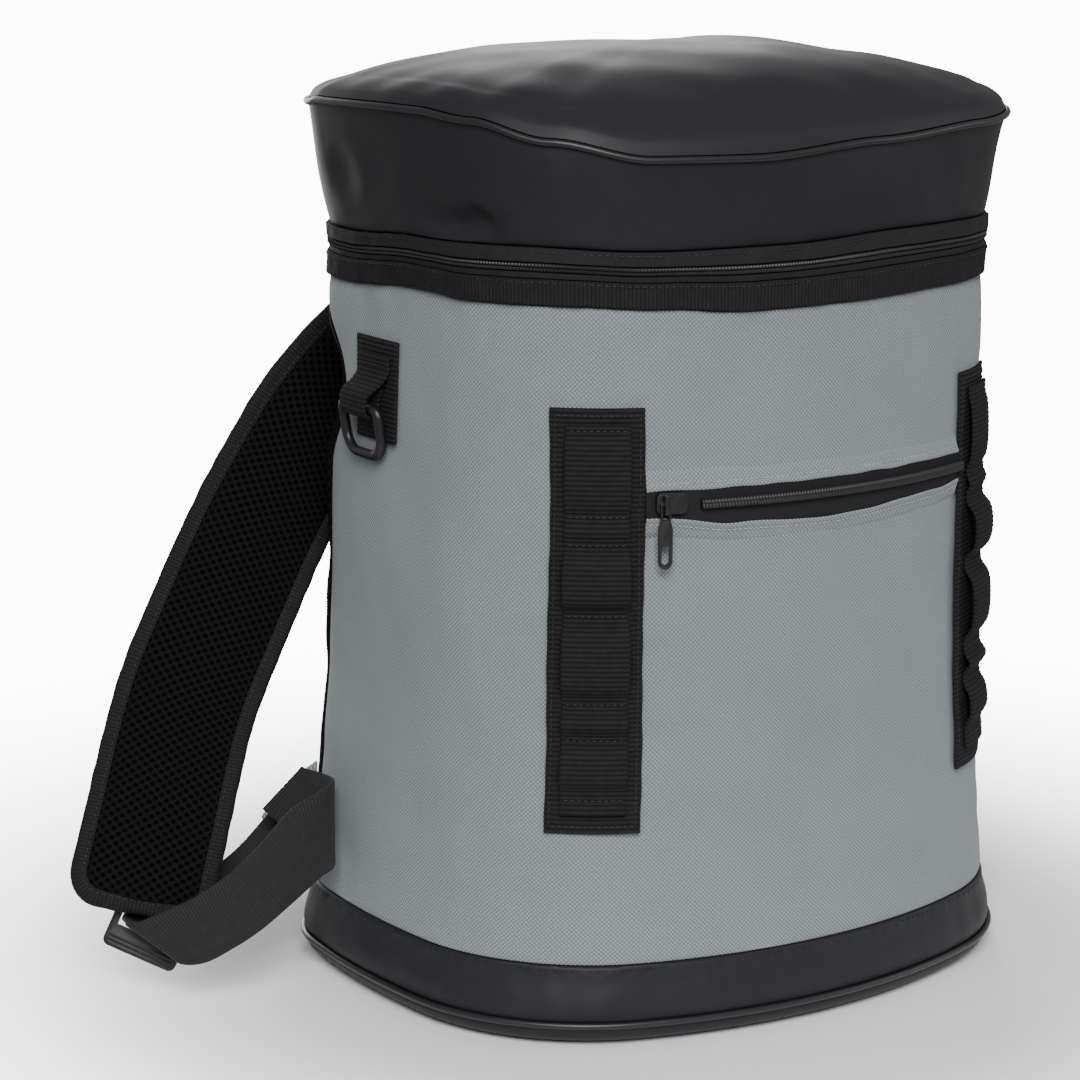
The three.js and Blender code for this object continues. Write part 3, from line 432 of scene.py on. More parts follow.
def add_node(tree: Tree, kind: str, settings: dict[str, object] | None = None, **inputs: object) -> Node:
    """Adds a node with its settings and inputs.

    Args:
        tree: the material's nodes.
        kind: type of the node.
        settings: attributes of the node.
        inputs: values or sockets for its inputs; iN is input number N, other names are its own.

    Returns:
        The new node.
    """
    node = tree.nodes.new(kind)
    for key, value in (settings or {}).items():
        setattr(node, key, value)
    for key, value in inputs.items():
        numbered = key[0] == "i" and key[1:].isdigit()
        socket = node.inputs[int(key[1:]) if numbered else key.replace("_", " ")]
        if isinstance(value, bpy.types.NodeSocket):
            tree.links.new(value, socket)
        else:
            socket.default_value = value
    return node


def maths(tree: Tree, operation: str, *values: float | Socket) -> Socket:
    """Output of one Math node on the given values."""
    inputs = {f"i{i}": value for i, value in enumerate(values)}
    return add_node(tree, "ShaderNodeMath", {"operation": operation}, **inputs).outputs[0]


def blended(tree: Tree, share: float | Socket, low: object, high: object) -> Socket:
    """Colour mixed between two colours."""
    node = add_node(tree, "ShaderNodeMix", {"data_type": "RGBA"}, i0=share, i6=low, i7=high)
    return node.outputs[2]


def speckle(tree: Tree, where: Socket, size: float, detail: float = 3.0) -> Socket:
    """Noise of a real size in metres, 0 to 1."""
    return add_node(tree, "ShaderNodeTexNoise", Vector=where, Scale=1 / size, Detail=detail).outputs[0]


@dataclass(frozen=True)
class Finish:
    """What every finish shares: its name, a slot name, and the shader's own values."""

    name: str
    slot: str
    roughness: float = 0.6
    sheen: float = 0.0
    specular: float = 0.5
    metallic: float = 0.0
    coat: float = 0.0

    def make(self) -> bpy.types.Material:
        """Builds the material once and hands it out again afterwards.

        Returns:
            The material.
        """
        known = bpy.data.materials.get(self.name)
        if known:
            return known
        material = bpy.data.materials.new(self.name)
        material.use_nodes = True
        tree = material.node_tree
        tree.nodes.clear()
        shader = tree.nodes.new("ShaderNodeBsdfPrincipled")
        shader.inputs["Roughness"].default_value = self.roughness
        shader.inputs["Metallic"].default_value = self.metallic
        shader.inputs["Specular IOR Level"].default_value = self.specular
        shader.inputs["Sheen Weight"].default_value = self.sheen
        shader.inputs["Sheen Roughness"].default_value = 0.5
        shader.inputs["Coat Weight"].default_value = self.coat
        shader.inputs["Coat Roughness"].default_value = 0.3
        out = tree.nodes.new("ShaderNodeOutputMaterial")
        tree.links.new(shader.outputs[0], out.inputs["Surface"])
        self.dress(tree, shader)
        return material

    def dress(self, tree: Tree, shader: Node) -> None:
        """Adds the finish's own colour, gloss and relief."""
        raise NotImplementedError

    @staticmethod
    def relief(tree: Tree, shader: Node, height: Socket, distance: float, strength: float = 1.0) -> None:
        """Links a height in 0 to 1 as bump of a real depth."""
        bump = add_node(tree, "ShaderNodeBump", Height=height, Distance=distance, Strength=strength)
        tree.links.new(bump.outputs[0], shader.inputs["Normal"])

    @staticmethod
    def cloth_uv(tree: Tree) -> tuple[Socket, Socket, Socket]:
        """The piece's own UV map in metres, whole and as its two parts."""
        uv = add_node(tree, "ShaderNodeUVMap", {"uv_map": "cloth"}).outputs[0]
        parts = add_node(tree, "ShaderNodeSeparateXYZ", Vector=uv)
        return uv, parts.outputs[0], parts.outputs[1]

    @staticmethod
    def object_place(tree: Tree) -> Socket:
        """Object coordinates, in metres."""
        return tree.nodes.new("ShaderNodeTexCoord").outputs["Object"]


def ribs(tree: Tree, along: Socket, pitch: float) -> Socket:
    """Rounded ribs across a direction, 0 in the grooves and 1 on the crests."""
    turned = maths(tree, "MULTIPLY", along, math.pi / pitch)
    return maths(tree, "ABSOLUTE", maths(tree, "SINE", turned))


def over_under(tree: Tree, u: Socket, v: Socket, pitch: float) -> Socket:
    """1 where the warp passes over the weft of a plain weave, 0 where it passes under."""
    cells = [maths(tree, "FLOOR", maths(tree, "DIVIDE", part, pitch)) for part in (u, v)]
    return maths(tree, "FLOORED_MODULO", maths(tree, "ADD", *cells), 2.0)


@dataclass(frozen=True)
class TwoTonePolyester(Finish):
    """Woven polyester with pale warp and darker weft: dry, even, with a fine diagonal sparkle."""

    warp: str = "#8F979A"
    weft: str = "#6D7578"
    pitch: float = 0.0009  # the real threads are 0.45 mm apart; drawn at twice that to show in the render

    def dress(self, tree: Tree, shader: Node) -> None:
        """Plain weave in two colours with painted shade between the threads, uneven in tone over centimetres.
        """
        uv, u, v = self.cloth_uv(tree)
        over = over_under(tree, u, v, self.pitch)
        crest = blended(tree, over, ribs(tree, v, self.pitch), ribs(tree, u, self.pitch))
        weave = blended(tree, over, linear(self.weft), linear(self.warp))
        # Painted shade: each thread's colour darkens down into the weave's grooves and brightens on its crest.
        shade = maths(tree, "MULTIPLY_ADD", crest, 0.34, 0.72)
        soft = maths(tree, "MULTIPLY_ADD", speckle(tree, uv, 0.035), 0.16, 0.92)
        slub = maths(tree, "MULTIPLY_ADD", speckle(tree, uv, 0.0012, 2.0), 0.30, 0.86)
        tone = maths(tree, "MULTIPLY", maths(tree, "MULTIPLY", shade, soft), slub)
        colour = add_node(tree, "ShaderNodeVectorMath", {"operation": "SCALE"}, i0=weave, Scale=tone)
        tree.links.new(colour.outputs[0], shader.inputs["Base Color"])
        self.relief(tree, shader, crest, 0.00012, 0.7)


@dataclass(frozen=True)
class CoatedCloth(Finish):
    """Polyester coated with soft plastic: near black, satin, broad soft highlights and a fine grain."""

    colour: str = "#1E1E21"
    grain: float = 0.0006

    def dress(self, tree: Tree, shader: Node) -> None:
        """Fine grain, cloudy gloss and faint rubbed patches."""
        place = self.object_place(tree)
        cloud = speckle(tree, place, 0.05, 4.0)
        rubbed = speckle(tree, place, 0.009, 5.0)
        gloss = maths(tree, "MULTIPLY_ADD", cloud, 0.14, self.roughness - 0.07)
        tree.links.new(gloss, shader.inputs["Roughness"])
        tone = maths(tree, "MULTIPLY_ADD", rubbed, 0.24, 0.88)
        plain = linear(self.colour)[:3]
        base = add_node(tree, "ShaderNodeVectorMath", {"operation": "SCALE"}, i0=plain, Scale=tone)
        tree.links.new(base.outputs[0], shader.inputs["Base Color"])
        grain = speckle(tree, place, self.grain, 3.0)
        broad = maths(tree, "MULTIPLY_ADD", speckle(tree, place, 0.012, 2.0), 1.6, grain)
        self.relief(tree, shader, broad, 0.00008, 0.6)


@dataclass(frozen=True)
class RibbedWebbing(Finish):
    """Black polyester webbing: ribs across it, crossed by fine warp threads, dull with a little sheen."""

    dark: str = "#050505"
    light: str = "#262625"
    rib: float = 0.002
    thread: float = 0.0011
    depth: float = 0.0004
    turned: bool = False  # ribs run along the piece instead of across it

    def dress(self, tree: Tree, shader: Node) -> None:
        """Ribs whose crests are split by the warp, with painted highlight on the crests and painted shade in
        the grooves.
        """
        uv, u, v = self.cloth_uv(tree)
        if self.turned:
            u, v = v, u
        row = ribs(tree, u, self.rib)
        number = maths(tree, "FLOOR", maths(tree, "DIVIDE", u, self.rib))
        shift = maths(tree, "MULTIPLY", number, self.thread / 2)
        strand = ribs(tree, maths(tree, "ADD", v, shift), self.thread)
        height = maths(tree, "MULTIPLY_ADD", strand, 0.35, maths(tree, "MULTIPLY", row, 0.65))
        # Painted highlight and shade: the colour runs from dark in the rib grooves to pale on the crests, and a
        # patchy noise varies how pale the crests get.
        uneven_crest_highlight = speckle(tree, uv, 0.004, 4.0)
        share = maths(tree, "MULTIPLY", height, maths(tree, "MULTIPLY_ADD", uneven_crest_highlight, 0.8, 0.45))
        colour = blended(tree, share, linear(self.dark), linear(self.light))
        tree.links.new(colour, shader.inputs["Base Color"])
        self.relief(tree, shader, height, self.depth, 0.9)


@dataclass(frozen=True)
class AirMesh(Finish):
    """Knitted spacer mesh: black yarn round staggered open holes."""

    dark: str = "#010101"
    light: str = "#121213"
    pitch: float = 0.0032

    def dress(self, tree: Tree, shader: Node) -> None:
        """Holes on a staggered lattice, painted dark inside as shade, with yarn crests between."""
        uv, u, v = self.cloth_uv(tree)
        yarn = mesh_yarn(tree, u, v, self.pitch)
        fuzz = speckle(tree, uv, 0.0007, 3.0)
        # Painted shade: the colour darkens from the yarn's crests down into the holes.
        share = maths(tree, "MULTIPLY", yarn, maths(tree, "MULTIPLY_ADD", fuzz, 0.9, 0.4))
        colour = blended(tree, share, linear(self.dark), linear(self.light))
        tree.links.new(colour, shader.inputs["Base Color"])
        self.relief(tree, shader, maths(tree, "MULTIPLY_ADD", fuzz, 0.15, yarn), 0.0006, 0.9)


def mesh_yarn(tree: Tree, u: Socket, v: Socket, pitch: float) -> Socket:
    """Height of the yarn of a staggered mesh: 0 in the holes, 1 on the yarn."""
    long = maths(tree, "COSINE", maths(tree, "MULTIPLY", u, math.tau / (pitch * 1.25)))
    cross = maths(tree, "COSINE", maths(tree, "MULTIPLY", v, math.tau / (pitch * 1.5)))
    hole = maths(tree, "MULTIPLY", long, cross)
    return maths(tree, "SUBTRACT", 1.0, maths(tree, "SMOOTH_MAX", maths(tree, "MULTIPLY", hole, 1.7), 0.0, 0.3))


@dataclass(frozen=True)
class ZipTape(Finish):
    """Woven zip tape: tight fine twill, black and flat."""

    dark: str = "#0D0D0E"
    light: str = "#1E1E20"
    pitch: float = 0.0009

    def dress(self, tree: Tree, shader: Node) -> None:
        """Twill lines at a slant, painted dark in their grooves as shade."""
        uv, u, v = self.cloth_uv(tree)
        twill = ribs(tree, maths(tree, "ADD", u, v), self.pitch)
        cloud = speckle(tree, uv, 0.006, 3.0)
        # Painted shade: dark in the twill's grooves, paler on its ridges.
        share = maths(tree, "MULTIPLY", twill, maths(tree, "MULTIPLY_ADD", cloud, 0.8, 0.4))
        tree.links.new(blended(tree, share, linear(self.dark), linear(self.light)), shader.inputs["Base Color"])
        self.relief(tree, shader, twill, 0.0001, 0.8)


@dataclass(frozen=True)
class PlainFinish(Finish):
    """A moulded, enamelled or spun surface: one colour, broken by grain, with paler rubbed parts."""

    dark: str = "#141415"
    light: str = "#2C2C2E"
    grain: float = 0.0015
    depth: float = 0.00004

    def dress(self, tree: Tree, shader: Node) -> None:
        """Fine grain and uneven gloss."""
        place = self.object_place(tree)
        grain = speckle(tree, place, self.grain, 4.0)
        tree.links.new(blended(tree, grain, linear(self.dark), linear(self.light)), shader.inputs["Base Color"])
        cloud = speckle(tree, place, self.grain * 4, 3.0)
        gloss = maths(tree, "MULTIPLY_ADD", cloud, 0.16, self.roughness - 0.08)
        tree.links.new(gloss, shader.inputs["Roughness"])
        self.relief(tree, shader, grain, self.depth, 0.6)


# Dry and even, with a fine diagonal sparkle where the pale warp crosses the darker weft.
GREY = TwoTonePolyester("two_tone_polyester_woven", "grey_polyester", roughness=0.82, sheen=0.12, specular=0.25)
# Near black, with the broad soft highlights of a satin coat.
COATED = CoatedCloth("coated_polyester_satin", "coated_cloth", roughness=0.55, specular=0.27)
# Smoother than the cloth beside it, so the seam reads as one thin bright line.
PIPED = PlainFinish("plastic_piping_extruded", "piping", roughness=0.42, dark="#111113", light="#1D1D20")
# Dull black with plain ribs across.
WEBBING = RibbedWebbing("polyester_webbing_ribbed", "webbing", roughness=0.85, specular=0.18)
# The adjusters' webbing: finer ribs and a little sheen, so it looks greyer than the ladders.
FINE_WEBBING = RibbedWebbing(
    "polyester_webbing_fine",
    "webbing",
    roughness=0.75,
    sheen=0.08,
    specular=0.3,
    rib=0.0013,
    thread=0.0009,
    depth=0.00018,
)
# Thin bound edge, with short ribs across the fold.
BINDING = RibbedWebbing(
    "polyester_binding_ribbed",
    "webbing",
    roughness=0.85,
    specular=0.18,
    rib=0.0016,
    thread=0.0012,
    depth=0.0002,
)
# Deep black, with painted shade in its staggered holes.
MESH = AirMesh("spacer_mesh_knitted", "air_mesh", roughness=0.9, specular=0.1)
# Flat black beside the glossier coil.
TAPE = ZipTape("zip_tape_woven", "webbing", roughness=0.75, specular=0.3)
# Small glints on the teeth.
COIL = PlainFinish("nylon_zip_coil", "zip_coil", roughness=0.45, dark="#0C0C0D", light="#202022")
# Black enamel over cast metal: the sharpest highlights on the bag.
ENAMEL = PlainFinish(
    "zinc_enamelled_black",
    "zip_metal",
    roughness=0.34,
    specular=0.6,
    coat=0.3,
    dark="#0E0E0F",
    light="#1A1A1C",
)
# Satin moulded plastic, softer than the enamel.
NYLON = PlainFinish(
    "nylon_moulded_satin", "moulded_nylon", roughness=0.38, dark="#101011", light="#1C1C1E", grain=0.002
)
# Thread a little paler than the grey cloth.
PALE_THREAD = PlainFinish(
    "polyester_thread_grey", "grey_polyester", roughness=0.7, dark="#8C9496", light="#B4BBBC", grain=0.0008
)
# Black thread whose stitches catch a faint light.
DARK_THREAD = PlainFinish(
    "polyester_thread_black", "webbing", roughness=0.6, dark="#0A0A0B", light="#242426", grain=0.0008
)


def finish_piece(
    obj: bpy.types.Object, finish: Finish, replaces: Sequence[str] = (), body: Body = Body.BAG
) -> bpy.types.Object:
    """Gives a piece its material and body, and hides the CAD nodes it stands for.

    Args:
        obj: the piece.
        finish: its main finish.
        replaces: CAD nodes that it stands for.
        body: the body it rides on.

    Returns:
        The piece.
    """
    if not obj.data.materials:
        obj.data.materials.append(finish.make())
    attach(obj, body.value)
    if replaces:
        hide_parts(*replaces)
    LOG.info("%s: %d faces", obj.name, len(obj.data.polygons))
    return obj


# Stitches


@dataclass(frozen=True)
class Stitch:
    """One thread stitch: a short rounded bead of thread, copied along a seam."""

    length: float = 0.0026
    pitch: float = 0.0034
    radius: float = 0.00035

    def row(self, name: str, points: Array, normals: Array) -> bpy.types.Object:
        """Lays stitches end to end along a line.

        Args:
            name: name of the row.
            points: the line's points.
            normals: the surface's outward direction at each point.

        Returns:
            One mesh with all the stitches.
        """
        steps = np.r_[0, np.cumsum(np.linalg.norm(np.diff(points, axis=0), axis=1))]
        count = max(1, int(steps[-1] / self.pitch))
        at = (np.arange(count) + 0.5) * steps[-1] / count
        where, ahead, behind, up = (
            np.stack([np.interp(at + shift, steps, table[:, k]) for k in range(3)], axis=-1)
            for shift, table in ((0, points), (0.0005, points), (-0.0005, points), (0, normals))
        )
        deselect()
        bpy.ops.mesh.primitive_uv_sphere_add(segments=6, ring_count=4, radius=1.0)
        first = bpy.context.active_object
        parts = []
        for p, a, b, n in zip(where, ahead, behind, up):
            run, out = Vector(a - b).normalized(), Vector(n).normalized()
            across = out.cross(run).normalized()
            turn = Matrix((across, run, out)).transposed().to_4x4()
            scale = Matrix.Diagonal((self.radius, self.length / 2, self.radius * 0.8, 1))
            copy = first.copy()
            copy.data = first.data.copy()
            copy.data.transform(Matrix.Translation(Vector(p)) @ turn @ scale)
            bpy.context.scene.collection.objects.link(copy)
            parts.append(copy)
        bpy.data.objects.remove(first)
        made = joined(name, parts)
        make_active(made)
        bpy.ops.object.shade_smooth()
        return made


# Walls of the bag


def rolled_profile(rows: int, thick: float, roll: float, height: float, inner: int = 4) -> Array:
    """Closed section of a cloth wall with rounded edges.

    Args:
        rows: faces up the outer side.
        thick: thickness of the wall.
        roll: radius of the outer edges.
        height: usual height of the wall.
        inner: faces down the inner side.

    Returns:
        Rows of (share of the height, distance out, how much relief the row takes).
    """
    edge = min(0.4, roll / height)
    turn = np.linspace(0, math.pi / 2, 4)
    low = np.stack([edge * (1 - np.cos(turn)), -roll * (1 - np.sin(turn)), 0 * turn], axis=-1)
    flat = np.linspace(edge, 1 - edge, rows + 1)
    soft = np.clip(np.minimum(flat, 1 - flat) * height / 0.006, 0, 1)
    face = np.stack([flat, 0 * flat, soft], axis=-1)
    high = low[::-1].copy()
    high[:, 0] = 1 - high[:, 0]
    back = np.stack([np.linspace(1, 0, inner + 1), np.full(inner + 1, -thick), np.zeros(inner + 1)], axis=-1)
    return np.concatenate([low[:-1], face, high[1:], back, low[:1]])


@dataclass
class SoftWall:
    """A padded cloth wall swept round the plan on a closed section."""

    name: str
    surface: Callable[[Array, Array, Array], Array]
    section: Array
    start: float
    stop: float
    columns: int
    height: float
    relief: Callable[[Array, Array, Array], Array] | None = None
    end_roll: float = 0.0

    def build(self) -> bpy.types.Object:
        """Wraps the wall and returns it."""
        rows = len(self.section) - 1
        up, out_run = np.diff(self.section[:, 0]) * self.height, np.diff(self.section[:, 1])
        run = np.r_[0, np.cumsum(np.hypot(up, out_run))]

        def place(u: Array, v: Array) -> Array:
            """Points of the wall."""
            j = np.rint(v * rows).astype(int)
            s = self.start + (self.stop - self.start) * u
            share, out, soft = self.section[j].T
            if self.end_roll:
                near = np.clip(np.minimum(s - self.start, self.stop - s) / self.end_roll, 0, 1)
                rolled = self.end_roll * (1 - np.sqrt(1 - (1 - near) ** 2))
                out = out - np.where(out > -self.end_roll, rolled, 0)
                soft = soft * near
            if self.relief is not None:
                flat = self.surface(s, share, 0 * s)
                out = out + soft * self.relief(s, share, flat)
            return self.surface(s, share, out)

        def metric(u: Array, v: Array) -> Array:
            """UV in metres: round the bag, and along the section."""
            return np.stack([(self.stop - self.start) * u, run[np.rint(v * rows).astype(int)]], axis=-1)

        return wrapped_grid(self.name, self.columns, rows, place, metric)


def bump_at(value: Array, centre: float | Array, width: float) -> Array:
    """A smooth hump, 1 at its centre and 0 past its width."""
    r = np.clip(np.abs(value - centre) / width, 0, 1)
    return np.cos(r * math.pi / 2) ** 2


@dataclass
class Tub:
    """The insulated tub: grey cloth round the front and sides, padded back, base band, piping and floor."""

    plan: Plan
    wall: float = 0.007
    base_top: float = 0.0336
    base_wall: float = 0.005
    floor_seam: float = 0.0095
    back_turn: float = 127.0
    back_pad: float = 0.007
    piping: float = 0.0015
    pocket_top: float = 0.230

    def low(self) -> float:
        """Lower edge of the grey cloth."""
        return self.base_top + GAP / 2

    def cloth_surface(self, s: Array, share: Array, out: Array) -> Array:
        """Points of the tub's wall from the base band to the zip band."""
        low, high = self.low(), self.plan.rim_low(s) - GAP / 2
        return self.plan.skin(s, low + (high - low) * share, out)

    def cloth_relief(self, s: Array, share: Array, at: Array) -> Array:
        """Slack of the cloth, puckers at its seams, and pull lines of what is sewn on it."""
        top = 1 - share
        relief = 0.0007 * waves(at, 0.085, 3) + 0.00035 * waves(at * (1, 1, 0.45), 0.030, 8)
        relief += 0.0006 * waves(at * (1, 1, 0.25), 0.017, 5) * np.exp(-top * CLOTH_TALL / 0.012)
        relief += 0.0005 * waves(at * (1, 1, 0.3), 0.014, 6) * np.exp(-share * CLOTH_TALL / 0.010)
        for side in (-1, 1):
            middle = side * self.plan.along(LADDER_TURN)
            inside = (at[:, 2] > 0.085) & (at[:, 2] < 0.267)
            relief += np.where(inside, -0.0006 * bump_at(np.abs(s - middle), 0.019, 0.007), 0)
            relief += 0.0005 * waves(at * (0.4, 0.4, 1), 0.016, 11) * bump_at(np.abs(s - middle), 0.026, 0.009)
        zip_zone = np.abs(s) < self.plan.along(LADDER_TURN) - 0.018
        relief += np.where(zip_zone, 0.0004 * bump_at(at[:, 2], 0.2355, 0.006), 0)
        relief += np.where(zip_zone, 0.0005 * bump_at(at[:, 2], self.lip(s) - 0.0050, 0.007), 0)
        return relief

    def lip(self, s: Array) -> Array:
        """Height of the pocket's lower lip."""
        rows = ((-20, 0.217), (-11, 0.213), (0, 0.2118), (16, 0.2144), (21, 0.2165))
        return eased(rows, self.plan.at(s)[4])

    def front(self) -> None:
        """The grey cloth of front and sides."""
        end = self.plan.along(self.back_turn)
        section = rolled_profile(104, self.wall, 0.0012, CLOTH_TALL)
        wall = SoftWall(
            "front_side_cloth",
            self.cloth_surface,
            section,
            -end,
            end,
            480,
            CLOTH_TALL,
            self.cloth_relief,
            0.003,
        ).build()
        finish_piece(wall, GREY, ["front_side_wrap"])

    def back_surface(self, s: Array, share: Array, out: Array) -> Array:
        """Points of the padded back, with s running across it from one side seam to the other."""
        edge = self.plan.along(self.back_turn) + GAP
        half = self.plan.half - edge
        across = np.clip(1 - np.abs(s) / half, 0, 1)
        swell = np.minimum(1, across / 0.22) ** 0.5
        rise = np.clip(np.minimum(share, 1 - share) / 0.12, 0, 1)
        puff = self.back_pad * swell * np.sin(rise * math.pi / 2) ** 0.8
        round_plan = np.where(s < 0, self.plan.half + s, s - self.plan.half)
        low, high = self.low(), self.plan.rim_low(round_plan) - GAP / 2
        return self.plan.skin(round_plan, low + (high - low) * share, out + np.where(out > -0.004, puff, 0))

    def back(self) -> None:
        """The padded mesh back."""
        half = self.plan.half - self.plan.along(self.back_turn) - GAP
        section = rolled_profile(96, 0.008, 0.002, CLOTH_TALL)

        def relief(s: Array, share: Array, at: Array) -> Array:
            """Soft unevenness of the padding."""
            return 0.0008 * waves(at, 0.06, 21) + 0.0003 * waves(at, 0.02, 22)

        wall = SoftWall(
            "back_panel_mesh", self.back_surface, section, -half, half, 150, CLOTH_TALL, relief
        ).build()
        finish_piece(wall, MESH, ["back_panel"])

    def base_band(self) -> None:
        """The coated band round the foot of the bag."""
        rows = np.array([
            (0.0, -0.0020), (0.02, -0.0008), (0.08, -0.0001), (0.20, 0.0003), (0.45, 0.0006), (0.70, 0.0008),
            (0.88, 0.0010), (0.915, 0.0008), (0.95, 0.0011), (0.98, 0.0009), (1.0, 0.0003),
        ])
        outer = np.linspace(0, 1, 30)
        swell = np.interp(outer, rows[:, 0], rows[:, 1])
        shape = np.stack([outer, swell, np.clip(np.minimum(outer, 1 - outer) * 9, 0, 1)], -1)
        inner = np.array([(1.0, -self.base_wall, 0), (0.0, -self.base_wall, 0), (0.0, -0.0020, 0)])
        section = np.concatenate([shape, inner])
        low = self.floor_seam + GAP / 2

        def surface(s: Array, share: Array, out: Array) -> Array:
            """Points of the band."""
            return self.plan.skin(s, low + (self.base_top - low) * share, out)

        def relief(s: Array, share: Array, at: Array) -> Array:
            """Slack between the seams and small puckers under the stitches."""
            pucker = 0.00018 * np.sin(at[:, 0] * 900 + 3 * np.sin(at[:, 1] * 210)) * bump_at(share, 0.9, 0.12)
            return 0.0006 * waves(at * (1, 1, 0.6), 0.055, 31) + 0.0002 * waves(at, 0.016, 32) + pucker

        half, tall = self.plan.half, 0.024
        band = SoftWall("base_band_cloth", surface, section, -half, half, 720, tall, relief).build()
        finish_piece(band, COATED, ["base_band"])
        s = np.linspace(-self.plan.half, self.plan.half, 900)
        z = self.base_top - 0.0021
        line = self.plan.skin(s, z, 0.0009)
        stitches = Stitch().row("base_band_stitches", line, self.plan.skin(s, z, 0.01) - line)
        finish_piece(stitches, DARK_THREAD)

    def bead(
        self, name: str, line: Callable[[Array, Array, Array], Array], replaces: str, radius: float
    ) -> None:
        """A round piping bead along a seam.

        Args:
            name: name of the piece.
            line: points for a distance, an offset out and an offset up.
            replaces: the CAD bead.
            radius: radius of the bead.
        """

        def place(u: Array, v: Array) -> Array:
            """Points of the bead."""
            s = -self.plan.half + 2 * self.plan.half * u
            a = v * math.tau
            return line(s, radius * np.cos(a), radius * np.sin(a))

        bead = wrapped_grid(name, 480, 10, place, metres(2 * self.plan.half, math.tau * radius))
        finish_piece(bead, PIPED, [replaces])

    def floor(self) -> None:
        """The padded floor, flat to stand on and rounded up to its seam."""
        rows = np.array([
            (0.0, 0.0, -1), (0.0, -0.060, 1), (0.0, -0.030, 1), (0.0, -0.013, 1), (0.0004, -0.009, 1),
            (0.0014, -0.005, 1), (0.0026, -0.0026, 1), (0.0042, -0.0010, 1), (0.0060, -0.0002, 1),
            (0.0075, 0.0, 1), (0.0086, -0.0008, 1), (0.00935, -0.002, 1), (0.00935, -0.005, 1),
            (0.008, -0.007, 1), (0.008, -0.060, 1), (0.008, 0.0, -1),
        ])

        def place(u: Array, v: Array) -> Array:
            """Points of the floor."""
            j = np.rint(v * (len(rows) - 1)).astype(int)
            s = -self.plan.half + 2 * self.plan.half * u
            z, out, ring = rows[j].T
            at = self.plan.skin(s, z, out)
            middle = np.stack([0 * z, 0 * z, z], axis=-1)
            return np.where(ring[:, None] > 0, at, middle)

        floor = wrapped_grid("floor_panel_cloth", 360, len(rows) - 1, place, metres(2 * self.plan.half, 0.2))
        finish_piece(floor, COATED, ["base_panel"])

    def build(self) -> None:
        """Builds every piece of the tub."""
        self.front()
        self.back()
        self.base_band()
        self.floor()
        self.bead(
            "base_piping_bead",
            lambda s, out, up: self.plan.skin(s, self.floor_seam + up, 0.0005 + out),
            "base_piping",
            self.piping,
        )


